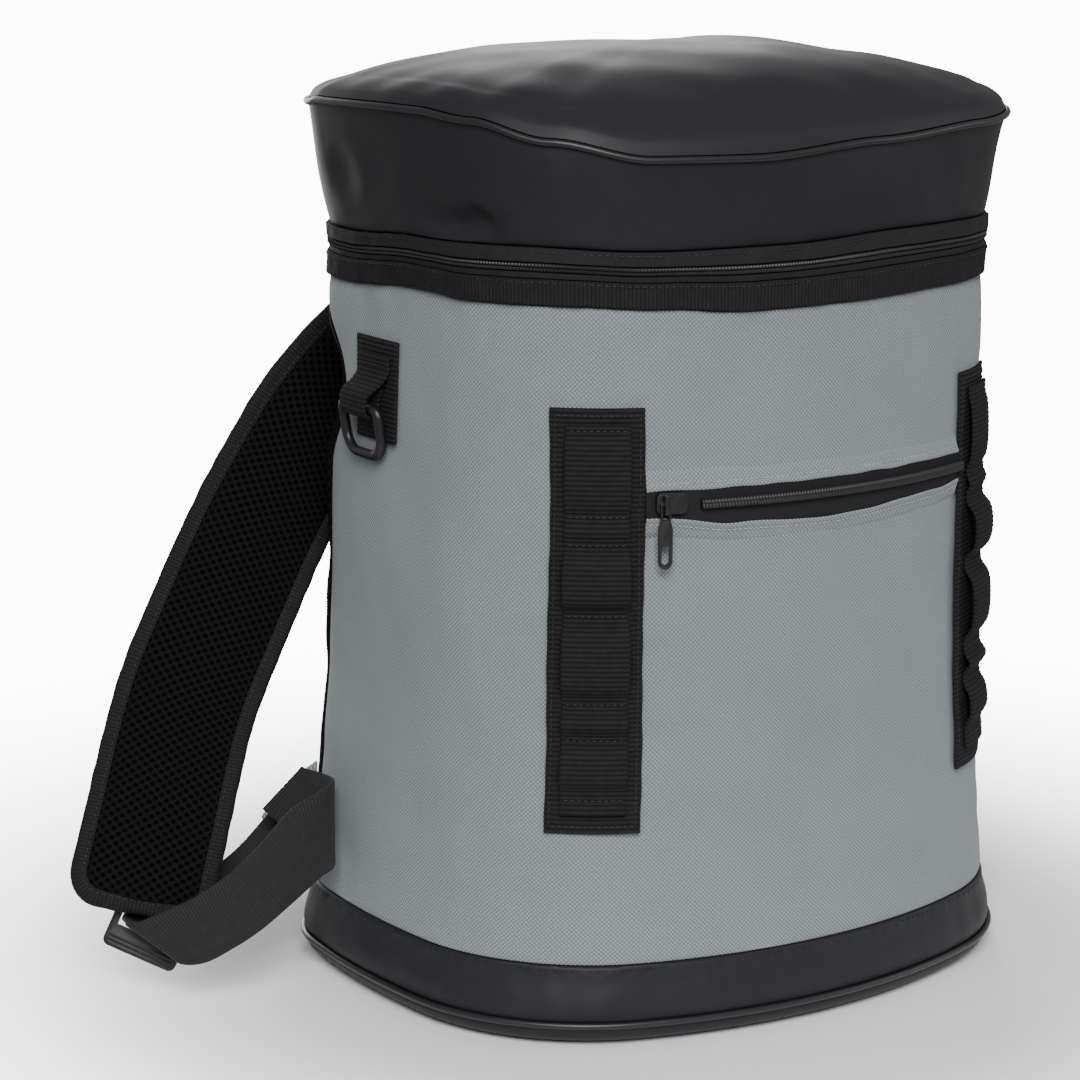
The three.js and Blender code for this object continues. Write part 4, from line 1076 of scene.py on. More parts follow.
@dataclass
class ZipBand:
    """The band between tub and lid: bound rim, two zip tapes and the closed coil."""

    plan: Plan
    columns: int = 520
    tooth: float = 0.0014

    def surface(self, s: Array, share: Array, out: Array) -> Array:
        """Points of the band; share 0 is its lower edge and 1 its upper edge."""
        low, high = self.plan.rim_low(s), self.plan.rim_high(s)
        return self.plan.skin(s, low + (high - low) * share, out)

    def strip(
        self, name: str, node: str, span: tuple[float, float], faces: tuple[float, float], finish: Finish
    ) -> None:
        """One strip of the band.

        Args:
            name: name of the piece.
            node: the CAD strip that it stands for.
            span: shares of the band's height.
            faces: inner and outer distance from the cloth.
            finish: its finish.
        """
        inner, outer = faces
        edge = 0.0008
        turn = np.linspace(0, math.pi / 2, 4)
        low = np.stack([0.05 * (1 - np.cos(turn)), outer - edge * (1 - np.sin(turn))], -1)
        flat = np.stack([np.linspace(0.1, 0.9, 7), np.full(7, outer)], -1)
        high = np.stack([1 - low[::-1, 0], low[::-1, 1]], -1)
        back = np.array([(1.0, inner), (0.0, inner), low[0]])
        shape = np.concatenate([low, flat, high, back])
        soft = (shape[:, 1] > outer - edge * 0.99).astype(float)
        section = np.column_stack([span[0] + (span[1] - span[0]) * shape[:, 0], shape[:, 1], soft])

        def relief(s: Array, share: Array, at: Array) -> Array:
            """Small waves of a sewn tape."""
            return 0.00035 * waves(at * (1, 1, 0.5), 0.020, 41) + 0.0002 * waves(at * (1, 1, 0.5), 0.008, 42)

        half = self.plan.half
        wall = SoftWall(name, self.surface, section, -half, half, self.columns, 0.022, relief).build()
        finish_piece(wall, finish, [node])

    def coil(self) -> None:
        """The closed coil: two rows of small teeth that meet on a line."""
        half = self.plan.half
        count = round(2 * half / self.tooth)
        across = np.array([0.0, 0.08, 0.25, 0.42, 0.5, 0.58, 0.75, 0.92, 1.0, 1.0, 0.0, 0.0])
        rounded = [0.0008, 0.0013, 0.0017, 0.0016, 0.0009, 0.0016, 0.0017, 0.0013, 0.0008]
        height = np.array([*rounded, -0.0014, -0.0014, 0.0008])
        low, high = 0.582, 0.728
        row = np.array([0, 1, 1, 1, 0, -1, -1, -1, 0, 0, 0, 0])

        def place(u: Array, v: Array) -> Array:
            """Points of the coil."""
            j = np.rint(v * (len(across) - 1)).astype(int)
            s = -half + 2 * half * u
            tooth = np.sin(u * count * math.tau + row[j] * math.pi / 2) * np.abs(row[j])
            return self.surface(s, low + (high - low) * across[j], height[j] + 0.00022 * tooth)

        coil = wrapped_grid("main_zip_coil_teeth", count * 4, len(across) - 1, place, metres(2 * half, 0.006))
        finish_piece(coil, COIL, ["zip_band_coil"])

    def build(self) -> None:
        """Builds the band and the stitches along its rim."""
        self.strip("rim_binding_tape", "zip_band_binding", (0.007, 0.453), (-0.004, 0.0022), BINDING)
        self.strip("main_zip_lower_tape", "zip_band_lower_tape", (0.467, 0.568), (-0.002, 0.0010), TAPE)
        self.coil()
        self.strip("main_zip_upper_tape", "zip_band_upper_tape", (0.742, 0.993), (-0.002, 0.0017), TAPE)
        s = np.linspace(-self.plan.half, self.plan.half, 900)
        for name, share, out in (("rim_binding_stitches", 0.40, 0.0023), ("upper_tape_stitches", 0.93, 0.0018)):
            line = self.surface(s, share + 0 * s, out + 0 * s)
            away = self.surface(s, share + 0 * s, 0.01 + 0 * s) - line
            row = Stitch(0.0022, 0.0030, 0.0003).row(name, line, away)
            finish_piece(row, DARK_THREAD)


@dataclass
class Lid:
    """The zipped lid: flared coated wall, piping, and a domed padded top."""

    plan: Plan
    wall: float = 0.005
    notch: float = 0.002

    def side(self) -> None:
        """The wall of the lid."""
        section = rolled_profile(36, self.wall, 0.0008, 0.045)
        section[:, 0] = np.clip(section[:, 0], 0.002, 0.99)

        def relief(s: Array, share: Array, at: Array) -> Array:
            """Slack of the coated cloth, with pull lines under the piping and above the zip."""
            slack = 0.0010 * waves(at * (1, 1, 0.7), 0.075, 51) + 0.0004 * waves(at * (1, 1, 0.5), 0.028, 52)
            pull = 0.0004 * waves(at * (1, 1, 0.3), 0.014, 53) * np.exp(-share * 0.045 / 0.009)
            return slack * np.sin(np.clip(share, 0, 1) * math.pi) + pull + self.crease(s, at)

        half = self.plan.half
        wall = SoftWall("lid_wall_cloth", self.plan.lid_wall, section, -half, half, 560, 0.045, relief).build()
        finish_piece(wall, COATED, ["lid_wall"])

    def crease(self, s: Array, at: Array) -> Array:
        """The crushed fold at the left, just above the zip."""
        total = np.zeros_like(s)
        for turn, z, depth, along, up, lean in (
            (-78, 0.3315, 0.0020, 0.012, 0.0050, 0.35),
            (-68, 0.3345, 0.0017, 0.010, 0.0060, -0.8),
            (-86, 0.3390, 0.0012, 0.007, 0.0100, -0.5),
            (-62, 0.3300, -0.0010, 0.012, 0.0050, 0.3),
        ):
            along_s = (s - self.plan.along(turn)) / along
            up_z = (at[:, 2] - z - lean * (s - self.plan.along(turn))) / up
            total -= depth * np.exp(-(along_s**2) - up_z**2)
        return total

    def top(self) -> None:
        """The domed top."""
        under = [(v, 0.009, 0.0) for v in (0.0, 0.45, 0.78, 0.93)]
        over_shares = np.r_[1 - np.linspace(0.012, 0.10, 12), np.linspace(0.885, 0.0, 46)]
        over = [(float(v), 0.0, 1.0) for v in over_shares]
        rows = under + [(1.001, 0, 0), (1.002, 0, 0), (1.003, 0, 0)] + over

        def place(u: Array, v: Array) -> Array:
            """Points of the top, from its hidden underside over the lip to the middle."""
            j = np.rint(v * (len(rows) - 1)).astype(int)
            share, drop, soft = np.array(rows)[j].T
            s = -self.plan.half + 2 * self.plan.half * u
            at = self.plan.dome(s, np.clip(share, 0, 1), drop)
            seam = self.plan.lid_seam(s)
            marks = ((1.001, -self.wall, GAP), (1.002, -self.notch, GAP), (1.003, -0.0003, self.notch))
            for mark, out, up in marks:
                lip = self.plan.lid_wall(s, 1 + 0 * s, out)
                lip[:, 2] = seam + up
                at = np.where(np.abs(share - mark)[:, None] < 1e-6, lip, at)
            ease = soft * np.clip((1 - share) / 0.08, 0, 1)
            at[:, 2] += soft * 0.0012 * np.clip((share - 0.9) / 0.08, 0, 1)
            flat = at * (1, 1, 0)
            at[:, 2] += ease * (0.0012 * waves(flat, 0.085, 61) + 0.0004 * waves(flat, 0.030, 62))
            edge = np.exp(-(1 - np.clip(share, 0, 1)) * 0.12 / 0.014)
            at[:, 2] += ease * edge * 0.0008 * waves(at * (1, 1, 0), 0.024, 63)
            return at

        top = wrapped_grid("lid_top_cloth", 420, len(rows) - 1, place, metres(2 * self.plan.half, 0.3))
        finish_piece(top, COATED, ["lid_top_panel"])

    def build(self, tub: Tub) -> None:
        """Builds the lid; the tub makes its piping bead."""
        self.side()

        def line(s: Array, out: Array, up: Array) -> Array:
            """Points of the bead round the lid's seam."""
            at = self.plan.lid_wall(s, 1 + 0 * s, 0.0006 + out)
            at[:, 2] = self.plan.lid_seam(s) + up + GAP / 2
            return at

        tub.bead("lid_piping_bead", line, "lid_piping", 0.0015)
        self.top()


# Tapes and webbing

Surface = Callable[[Array, Array, Array], Array]


def distances(points: Array) -> Array:
    """Distance of each point along its line."""
    return np.r_[0, np.cumsum(np.linalg.norm(np.diff(points, axis=0), axis=1))]


def read_rows(table: Array, at: Array) -> Array:
    """Reads the rows of a table at fractional row numbers."""
    index = np.arange(len(table))
    return np.stack([np.interp(at, index, table[:, k]) for k in range(table.shape[1])], axis=-1)


def unit(vectors: Array) -> Array:
    """The same directions, one long."""
    return vectors / np.maximum(np.linalg.norm(vectors, axis=-1, keepdims=True), 1e-12)


def smooth_path(points: Array, step: float) -> tuple[Array, Array]:
    """Even points on a centripetal curve through given points.

    Args:
        points: the points to pass through.
        step: distance between the new points.

    Returns:
        The new points, and for each one the fractional number of the given point it lies at.
    """
    ends = np.concatenate([[2 * points[0] - points[1]], points, [2 * points[-1] - points[-2]]])
    w = np.linspace(0, 1, 24, endpoint=False)[:, None]
    dense, rows = [], []
    for i in range(len(points) - 1):
        p0, p1, p2, p3 = ends[i : i + 4]
        a, b, c = (max(float(np.linalg.norm(q - p)) ** 0.5, 1e-6) for p, q in ((p0, p1), (p1, p2), (p2, p3)))
        t1 = ((p1 - p0) / a - (p2 - p0) / (a + b) + (p2 - p1) / b) * b
        t2 = ((p2 - p1) / b - (p3 - p1) / (b + c) + (p3 - p2) / c) * b
        dense.append(
            (2 * w**3 - 3 * w**2 + 1) * p1
            + (w**3 - 2 * w**2 + w) * t1
            + (3 * w**2 - 2 * w**3) * p2
            + (w**3 - w**2) * t2
        )
        rows.append(i + w[:, 0])
    line, row = np.concatenate([*dense, points[-1:]]), np.concatenate([*rows, [len(points) - 1.0]])
    run = distances(line)
    at = np.linspace(0, run[-1], max(3, round(run[-1] / step)) + 1)
    even = np.stack([np.interp(at, run, line[:, k]) for k in range(line.shape[1])], axis=-1)
    return even, np.interp(at, run, row)


@dataclass
class Webbing:
    """A woven strip with ribs across it: a closed section with rounded edges, swept along a surface."""

    name: str
    surface: Surface
    length: float
    width: float
    thick: float = 0.0015
    rib: float = 0.002
    rise: float = 0.00024
    across: int = 12
    per_rib: int = 4

    def section(self) -> Array:
        """Closed section: rows of (across, -1 to 1; height; distance round it)."""
        half, r = self.width / 2, self.thick / 2
        flat = np.linspace(-(half - r), half - r, self.across + 1)
        turn = np.linspace(math.pi / 2, -math.pi / 2, 6)[1:-1]
        edge = np.stack([half - r + r * np.cos(turn), r * np.sin(turn)], axis=-1)
        top = np.stack([flat, np.full_like(flat, r)], axis=-1)
        ring = np.concatenate([top, edge, -top, -edge, top[:1]])
        return np.column_stack([ring[:, 0] / half, ring[:, 1], distances(ring)])

    def build(self) -> bpy.types.Object:
        """Sweeps the strip and returns it."""
        section = self.section()
        rows = len(section) - 1
        columns = max(8, round(self.length / self.rib * self.per_rib))
        half, r = self.width / 2, self.thick / 2

        def place(u: Array, v: Array) -> Array:
            """Points of the strip."""
            x, height, _ = section[np.rint(v * rows).astype(int)].T
            grow = self.rise * (np.abs(np.sin(u * self.length * math.pi / self.rib)) - 0.6)
            return self.surface(u, x * (1 + 0.7 * grow / half), height * (1 + grow / r))

        def metric(u: Array, v: Array) -> Array:
            """UV in metres: along the strip, and round it."""
            return np.stack([u * self.length, section[np.rint(v * rows).astype(int)][:, 2]], axis=-1)

        return wrapped_grid(self.name, columns, rows, place, metric)


def laid_on(plan: Plan, path: Array, middle: Array, half: Array) -> Surface:
    """Surface of a strip that lies on the bag along a path.

    Args:
        plan: the bag's plan.
        path: rows of (z, out) from the strip's start to its end.
        middle: distance round the plan of its middle line, for each row.
        half: its half width, for each row.

    Returns:
        The surface.
    """
    run = unit(np.gradient(path, axis=0))
    table = np.column_stack([path, run[:, 1], -run[:, 0], middle + 0 * path[:, 0], half + 0 * path[:, 0]])

    def surface(u: Array, x: Array, height: Array) -> Array:
        """Points for a share along, a share across and a height."""
        z, out, nz, no, mid, wide = read_rows(table, u * (len(table) - 1)).T
        return plan.skin(mid + x * wide, z + nz * height, out + no * height)

    return surface


def between(up: Array, low: Array) -> Surface:
    """Surface of a strip between two edge lines with as many points."""
    middle, across = (up + low) / 2, (low - up) / 2
    normal = unit(np.cross(np.gradient(middle, axis=0), across))
    table = np.column_stack([middle, across, normal])

    def surface(u: Array, x: Array, height: Array) -> Array:
        """Points for a share along, a share across and a height."""
        row = read_rows(table, u * (len(table) - 1))
        return row[:, :3] + row[:, 3:6] * x[:, None] + unit(row[:, 6:]) * height[:, None]

    return surface


def ribbon(
    name: str, up: Array, low: Array, thick: float, rib: float, rise: float = 0.00015
) -> tuple[bpy.types.Object, float]:
    """A smooth webbing through a few rows of upper and lower edge points.

    Args:
        name: name of the piece.
        up: upper edge, row by row.
        low: lower edge, row by row.
        thick: thickness.
        rib: pitch of the ribs.
        rise: height of the ribs.

    Returns:
        The piece and its length.
    """
    fine, row = smooth_path((up + low) / 2, 0.0015)
    across = (low - up) / 2
    length = float(distances(fine)[-1])
    index = np.arange(len(across))
    sides = []
    for k in range(3):
        eased_row = np.interp(row, index, across[:, k])
        sides.append(np.convolve(np.pad(eased_row, 3, mode="edge"), np.ones(7) / 7, mode="valid"))
    half = np.stack(sides, axis=-1)
    width = float(np.linalg.norm(low - up, axis=1).mean())
    strip = Webbing(name, between(fine - half, fine + half), length, width, thick, rib, rise, 5)
    return strip.build(), length


@dataclass
class WebbingLadder:
    """One webbing ladder: a wide tape with a narrower webbing tacked on it in loops."""

    plan: Plan
    side: Side
    turn: float = LADDER_TURN
    top: float = 0.2627
    bottom: float = 0.089
    backing_width: float = 0.038
    backing_thick: float = 0.0014
    web_half: float = 0.0127
    lift: float = 0.0005
    loops: Rows = (
        (0.256, 0), (0.252, 0), (0.246, 0.0014), (0.230, 0.0020), (0.2235, 0.0012), (0.221, 0), (0.2174, 0),
        (0.2135, 0.0014), (0.2095, 0), (0.206, 0), (0.201, 0.0036), (0.1935, 0.0048), (0.1855, 0.0036),
        (0.1815, 0), (0.1765, 0), (0.171, 0.0034), (0.161, 0.0044), (0.1505, 0.0032), (0.1455, 0), (0.140, 0),
        (0.135, 0.0028), (0.130, 0), (0.126, 0), (0.121, 0.0024), (0.112, 0.0026), (0.1075, 0), (0.0972, 0),
    )
    tacks: tuple[float, ...] = (0.254, 0.2192, 0.2078, 0.179, 0.1428, 0.128, 0.1035)

    def build(self) -> None:
        """Builds the tape, the looped webbing and its tacks."""
        label = self.side.value
        middle = self.side.sign * self.plan.along(self.turn)
        z = np.linspace(self.top, self.bottom, 80)
        flat = np.column_stack([z, np.full_like(z, self.lift + self.backing_thick / 2)])
        wave = 0.00012 * np.sin(z * 310) + 0.00025 * np.sin(z * 61 + 1)
        length = self.top - self.bottom
        surface = laid_on(self.plan, flat, middle + wave, np.full_like(z, self.backing_width / 2))
        tape = Webbing(
            f"ladder_tape_{label}", surface, length, self.backing_width, self.backing_thick, across=16
        )
        finish_piece(tape.build(), WEBBING, [f"ladder_backing_{label}"])
        base = 2 * self.lift + self.backing_thick + 0.00075
        rows = np.array([(z, off + base) for z, off in self.loops])
        path, _ = smooth_path(np.column_stack([rows, 0 * rows[:, :1]]), 0.0006)
        path = path[:, :2]
        web = Webbing(
            f"ladder_loops_{label}",
            laid_on(self.plan, path, middle, np.full(len(path), self.web_half)),
            float(distances(path)[-1]),
            2 * self.web_half,
        )
        finish_piece(web.build(), WEBBING, [f"ladder_webbing_{label}"])
        self.sew(label, middle, base)

    def sew(self, label: str, middle: float, base: float) -> None:
        """Bar tacks across the webbing and a stitch line round the tape."""
        rows = []
        stitch = Stitch(0.0022, 0.0026, 0.0003)
        for z in self.tacks:
            s = np.linspace(middle - 0.0115, middle + 0.0115, 30)
            line = self.plan.skin(s, z, base + 0.0009)
            rows.append(stitch.row("tack", line, self.plan.skin(s, z, 0.02) - line))
        inset = self.backing_width / 2 - 0.0022
        corners = [
            (middle - inset, self.top - 0.003), (middle + inset, self.top - 0.003),
            (middle + inset, self.bottom + 0.003), (middle - inset, self.bottom + 0.003),
        ]
        for (s0, z0), (s1, z1) in zip(corners, [*corners[1:], corners[0]]):
            s, z = np.linspace(s0, s1, 60), np.linspace(z0, z1, 60)
            line = self.plan.skin(s, z, self.lift + self.backing_thick + 0.0001)
            rows.append(stitch.row("edge", line, self.plan.skin(s, z, 0.02) - line))
        finish_piece(joined(f"ladder_stitches_{label}", rows), DARK_THREAD)


@dataclass
class PocketZip:
    """The front pocket's zip: tape, closed coil, cloth hems above and below, and their stitches."""

    plan: Plan
    tub: Tub
    top: float = 0.230
    coil_z: float = 0.2232
    coil_radius: float = 0.0021
    tape_thick: float = 0.0012
    tooth: float = 0.0014

    def reach(self) -> float:
        """Distance from the front centre to the webbing ladders."""
        return self.plan.along(LADDER_TURN) - 0.019 - GAP - 0.0002

    def tape(self) -> None:
        """The woven tape between the two hems."""
        reach = self.reach()

        def surface(u: Array, x: Array, height: Array) -> Array:
            """Points of the tape."""
            s = -reach + 2 * reach * u
            low = self.tub.lip(s)
            z = (low + self.top) / 2 + x * (self.top - low) / 2
            return self.plan.skin(s, z, GAP + self.tape_thick / 2 + height)

        tape = Webbing(
            "pocket_zip_tape_woven", surface, 2 * reach, 0.016, self.tape_thick, 0.0012, 0.00004, 10, 2
        )
        finish_piece(tape.build(), TAPE, ["pocket_zip_tape"])

    def coil(self) -> None:
        """The closed coil, two rows of teeth."""
        start, stop = self.plan.along(-14.8), self.reach()
        count = round((stop - start) / self.tooth)
        angle = np.linspace(0, math.tau, 15)
        base = 2 * GAP + self.tape_thick

        def place(u: Array, v: Array) -> Array:
            """Points of the coil."""
            j = np.rint(v * 14).astype(int)
            a = angle[j]
            s = start + (stop - start) * u
            seam = 0.0006 * np.exp(-((np.sin(a) / 0.16) ** 2)) * (np.cos(a) > 0)
            tooth = 0.00024 * np.sin(u * count * math.tau + np.where(np.sin(a) > 0, 0, math.pi))
            r = self.coil_radius + tooth
            out = base + self.coil_radius * 0.75 + (r * 0.75 - seam) * np.cos(a)
            return self.plan.skin(s, self.coil_z + r * np.sin(a), out)

        coil = wrapped_grid("pocket_zip_coil_teeth", count * 6, 14, place, metres(stop - start, 0.013))
        finish_piece(coil, COIL, ["pocket_zip_coil"])

    def hem(self, name: str, edge: Callable[[Array], Array], way: int) -> None:
        """A folded cloth edge over the tape.

        Args:
            name: name of the piece.
            edge: height of the tape's edge at a distance.
            way: 1 for the hem above the zip, -1 for the lip below it.
        """
        reach = self.reach()
        section = 0.001 * np.array([
            (7.0, -0.7), (5.6, 0.35), (4.4, 0.75), (2.6, 1.25), (1.4, 1.55), (0.9, 1.75), (0.2, 2.15),
            (-0.5, 2.30), (-1.0, 2.20), (-1.2, 1.95), (-1.0, 1.70), (-0.4, 1.60), (0.4, 1.55), (0.6, 0.9),
            (0.8, 0.2), (7.0, -0.7),
        ])
        run = distances(section)

        def place(u: Array, v: Array) -> Array:
            """Points of the hem."""
            j = np.rint(v * (len(section) - 1)).astype(int)
            s = -reach + 2 * reach * u
            up, out = section[j].T
            wave = 0.00025 * waves(np.column_stack([s, 0 * s, 0 * s]), 0.018, 71 + way) * (np.abs(up) < 0.005)
            return self.plan.skin(s, edge(s) + way * (up + wave), out + 0.6 * wave)

        def metric(u: Array, v: Array) -> Array:
            """UV in metres."""
            return np.stack([u * 2 * reach, run[np.rint(v * (len(section) - 1)).astype(int)]], axis=-1)

        finish_piece(wrapped_grid(name, 150, len(section) - 1, place, metric), GREY)

    def sew(self, name: str, edge: Callable[[Array], Array], up: float, thread: Finish) -> None:
        """One row of stitches beside a hem."""
        reach = self.reach()
        s = np.linspace(-reach + 0.001, reach - 0.001, 300)
        line = self.plan.skin(s, edge(s) + up, 0.0017)
        row = Stitch(0.0016, 0.0024, 0.00026).row(name, line, self.plan.skin(s, edge(s) + up, 0.02) - line)
        finish_piece(row, thread)

    def build(self) -> None:
        """Builds the zip."""
        self.tape()
        self.coil()
        self.hem("pocket_hem_upper", lambda s: self.top + 0 * s, 1)
        self.hem("pocket_hem_lower", self.tub.lip, -1)
        self.sew("pocket_stitches_upper", lambda s: self.top + 0 * s, 0.0016, PALE_THREAD)
        self.sew("pocket_stitches_lower", self.tub.lip, -0.0016, PALE_THREAD)


@dataclass
class Fittings:
    """The sliders and pulls of both zips, and the ladder locks."""

    edge: float = 0.0004

    def build(self) -> None:
        """Rounds the edges of the small hard parts and finishes them."""
        pull_body = {"pocket": Body.POCKET_PULL, "main": Body.MAIN_PULL}
        for zip_name, body in pull_body.items():
            slider = bevelled_copy(f"{zip_name}_zip_slider", f"{zip_name}_slider_cast", self.edge)
            finish_piece(slider, ENAMEL, [f"{zip_name}_zip_slider"])
            pull = bevelled_copy(f"{zip_name}_zip_pull", f"{zip_name}_pull_cast", 0.6 * self.edge)
            finish_piece(pull, ENAMEL, [f"{zip_name}_zip_pull"], body)
        for side in Side:
            lock = bevelled_copy(f"ladder_lock_{side.value}", f"ladder_lock_moulded_{side.value}", self.edge)
            finish_piece(lock, NYLON, [f"ladder_lock_{side.value}"])


@dataclass
class RingTab:
    """The side tab: a tape patch, a loop of webbing, and an oval plastic ring."""

    plan: Plan
    y: float = 0.025
    width: float = 0.034
    top: float = 0.2805
    bottom: float = 0.238
    lift: float = 0.0005
    backing: float = 0.0014
    ring_y: float = 0.031
    ring_width: float = 0.030
    ring_height: float = 0.020
    top_corner: float = 0.0032
    wire: float = 0.0022
    ring_top: float = 0.2514
    top_out: float = 0.0064
    low_out: float = 0.0034

    def patch(self) -> None:
        """The tape patch sewn on the side."""
        middle = -self.plan.side_along(self.y)
        v = np.linspace(0, 1, 40)
        z = self.top + (self.bottom - self.top) * v
        path = np.column_stack([z, np.full_like(z, self.lift + self.backing / 2)])
        surface = laid_on(self.plan, path, middle - 0.001 * v, self.width / 2 - 0.001 * v)
        patch = Webbing("ring_tab_tape", surface, self.top - self.bottom, self.width, self.backing, across=16)
        finish_piece(patch.build(), WEBBING, ["ring_tab_backing"])
        rows = []
        for z, half in ((self.top - 0.0028, 0.014), (self.top - 0.0105, 0.0105)):
            s = np.linspace(middle - half, middle + half, 30)
            out = self.lift + self.backing + (0.0003 if half > 0.012 else 0.0022)
            line = self.plan.skin(s, z, out)
            rows.append(Stitch(0.0022, 0.0026, 0.0003).row("tack", line, self.plan.skin(s, z, 0.03) - line))
        finish_piece(joined("ring_tab_stitches", rows), DARK_THREAD)

    def loop(self) -> None:
        """The webbing loop that carries the ring."""
        face = self.lift + self.backing + GAP + 0.00075
        turn = self.wire + 0.0004 + 0.00075
        rows = [
            (self.top - 0.0065, face), (self.top - 0.013, face), (self.top - 0.018, face + 0.0022),
            (self.top - 0.023, self.top_out + turn * 0.86),
        ]
        for i in range(8):
            a = math.radians(18 + (-158 - 18) * i / 7)
            rows.append((self.ring_top + turn * math.sin(a), self.top_out + turn * math.cos(a)))
        rows += [(self.ring_top + 0.0025, face + 0.00005), (self.ring_top + 0.009, face)]
        path, _ = smooth_path(np.array([(z, out, 0.0) for z, out in rows]), 0.0005)
        path = path[:, :2]
        lean = np.clip((self.top - 0.012 - path[:, 0]) / 0.016, 0, 1)
        lean = lean * lean * (3 - 2 * lean)
        side, ring = -self.plan.side_along(self.y), -self.plan.side_along(self.ring_y)
        surface = laid_on(self.plan, path, side + (ring - side) * lean, 0.0122 + (0.0106 - 0.0122) * lean)
        loop = Webbing("ring_tab_loop", surface, float(distances(path)[-1]), 0.0236)
        finish_piece(loop.build(), WEBBING, ["ring_tab_webbing"])

    def outline(self) -> Array:
        """Middle line of the ring's wire: (across, up) from its middle."""
        tight, corner = self.top_corner, self.ring_height * 0.42
        w, h = self.ring_width / 2, self.ring_height / 2
        points = []
        for x, y, r, start in (
            (w - tight, h - tight, tight, 90), (w - corner, corner - h, corner, 0),
            (corner - w, corner - h, corner, -90), (tight - w, h - tight, tight, 180),
        ):
            for i in range(13):
                a = math.radians(start - 90 * i / 12)
                points.append((x + r * math.cos(a), y + r * math.sin(a), 0.0))
        points.append(points[0])
        line = np.array(points)
        run = distances(line)
        at = np.linspace(0, run[-1], 121)
        return np.stack([np.interp(at, run, line[:, k]) for k in range(2)], axis=-1)

    def ring(self) -> None:
        """The moulded ring, a little flattened where the webbing sits."""
        line = self.outline()
        along = np.gradient(np.vstack([line[-2], line, line[1]]), axis=0)[1:-1]
        away = unit(np.column_stack([-along[:, 1], along[:, 0]]))
        middle, h = -self.plan.side_along(self.ring_y), self.ring_height / 2
        sides = 14

        def place(u: Array, v: Array) -> Array:
            """Points of the ring."""
            i = np.rint(u * 120).astype(int) % 120
            a = v * math.tau
            round_it = 1 + 0.06 * np.cos(2 * a)
            x = line[i, 0] + away[i, 0] * self.wire * round_it * np.cos(a)
            y = line[i, 1] + away[i, 1] * self.wire * round_it * np.cos(a)
            drop = (h - y) / self.ring_height
            out = self.top_out + (self.low_out - self.top_out) * drop + self.wire * np.sin(a)
            return self.plan.skin(middle + x, self.ring_top - (h - y), out)

        ring = wrapped_grid("ring_moulded_oval", 120, sides, place, metres(0.09, 0.014))
        finish_piece(ring, NYLON, ["oval_ring"])

    def build(self) -> None:
        """Builds the tab."""
        self.patch()
        self.loop()
        self.ring()


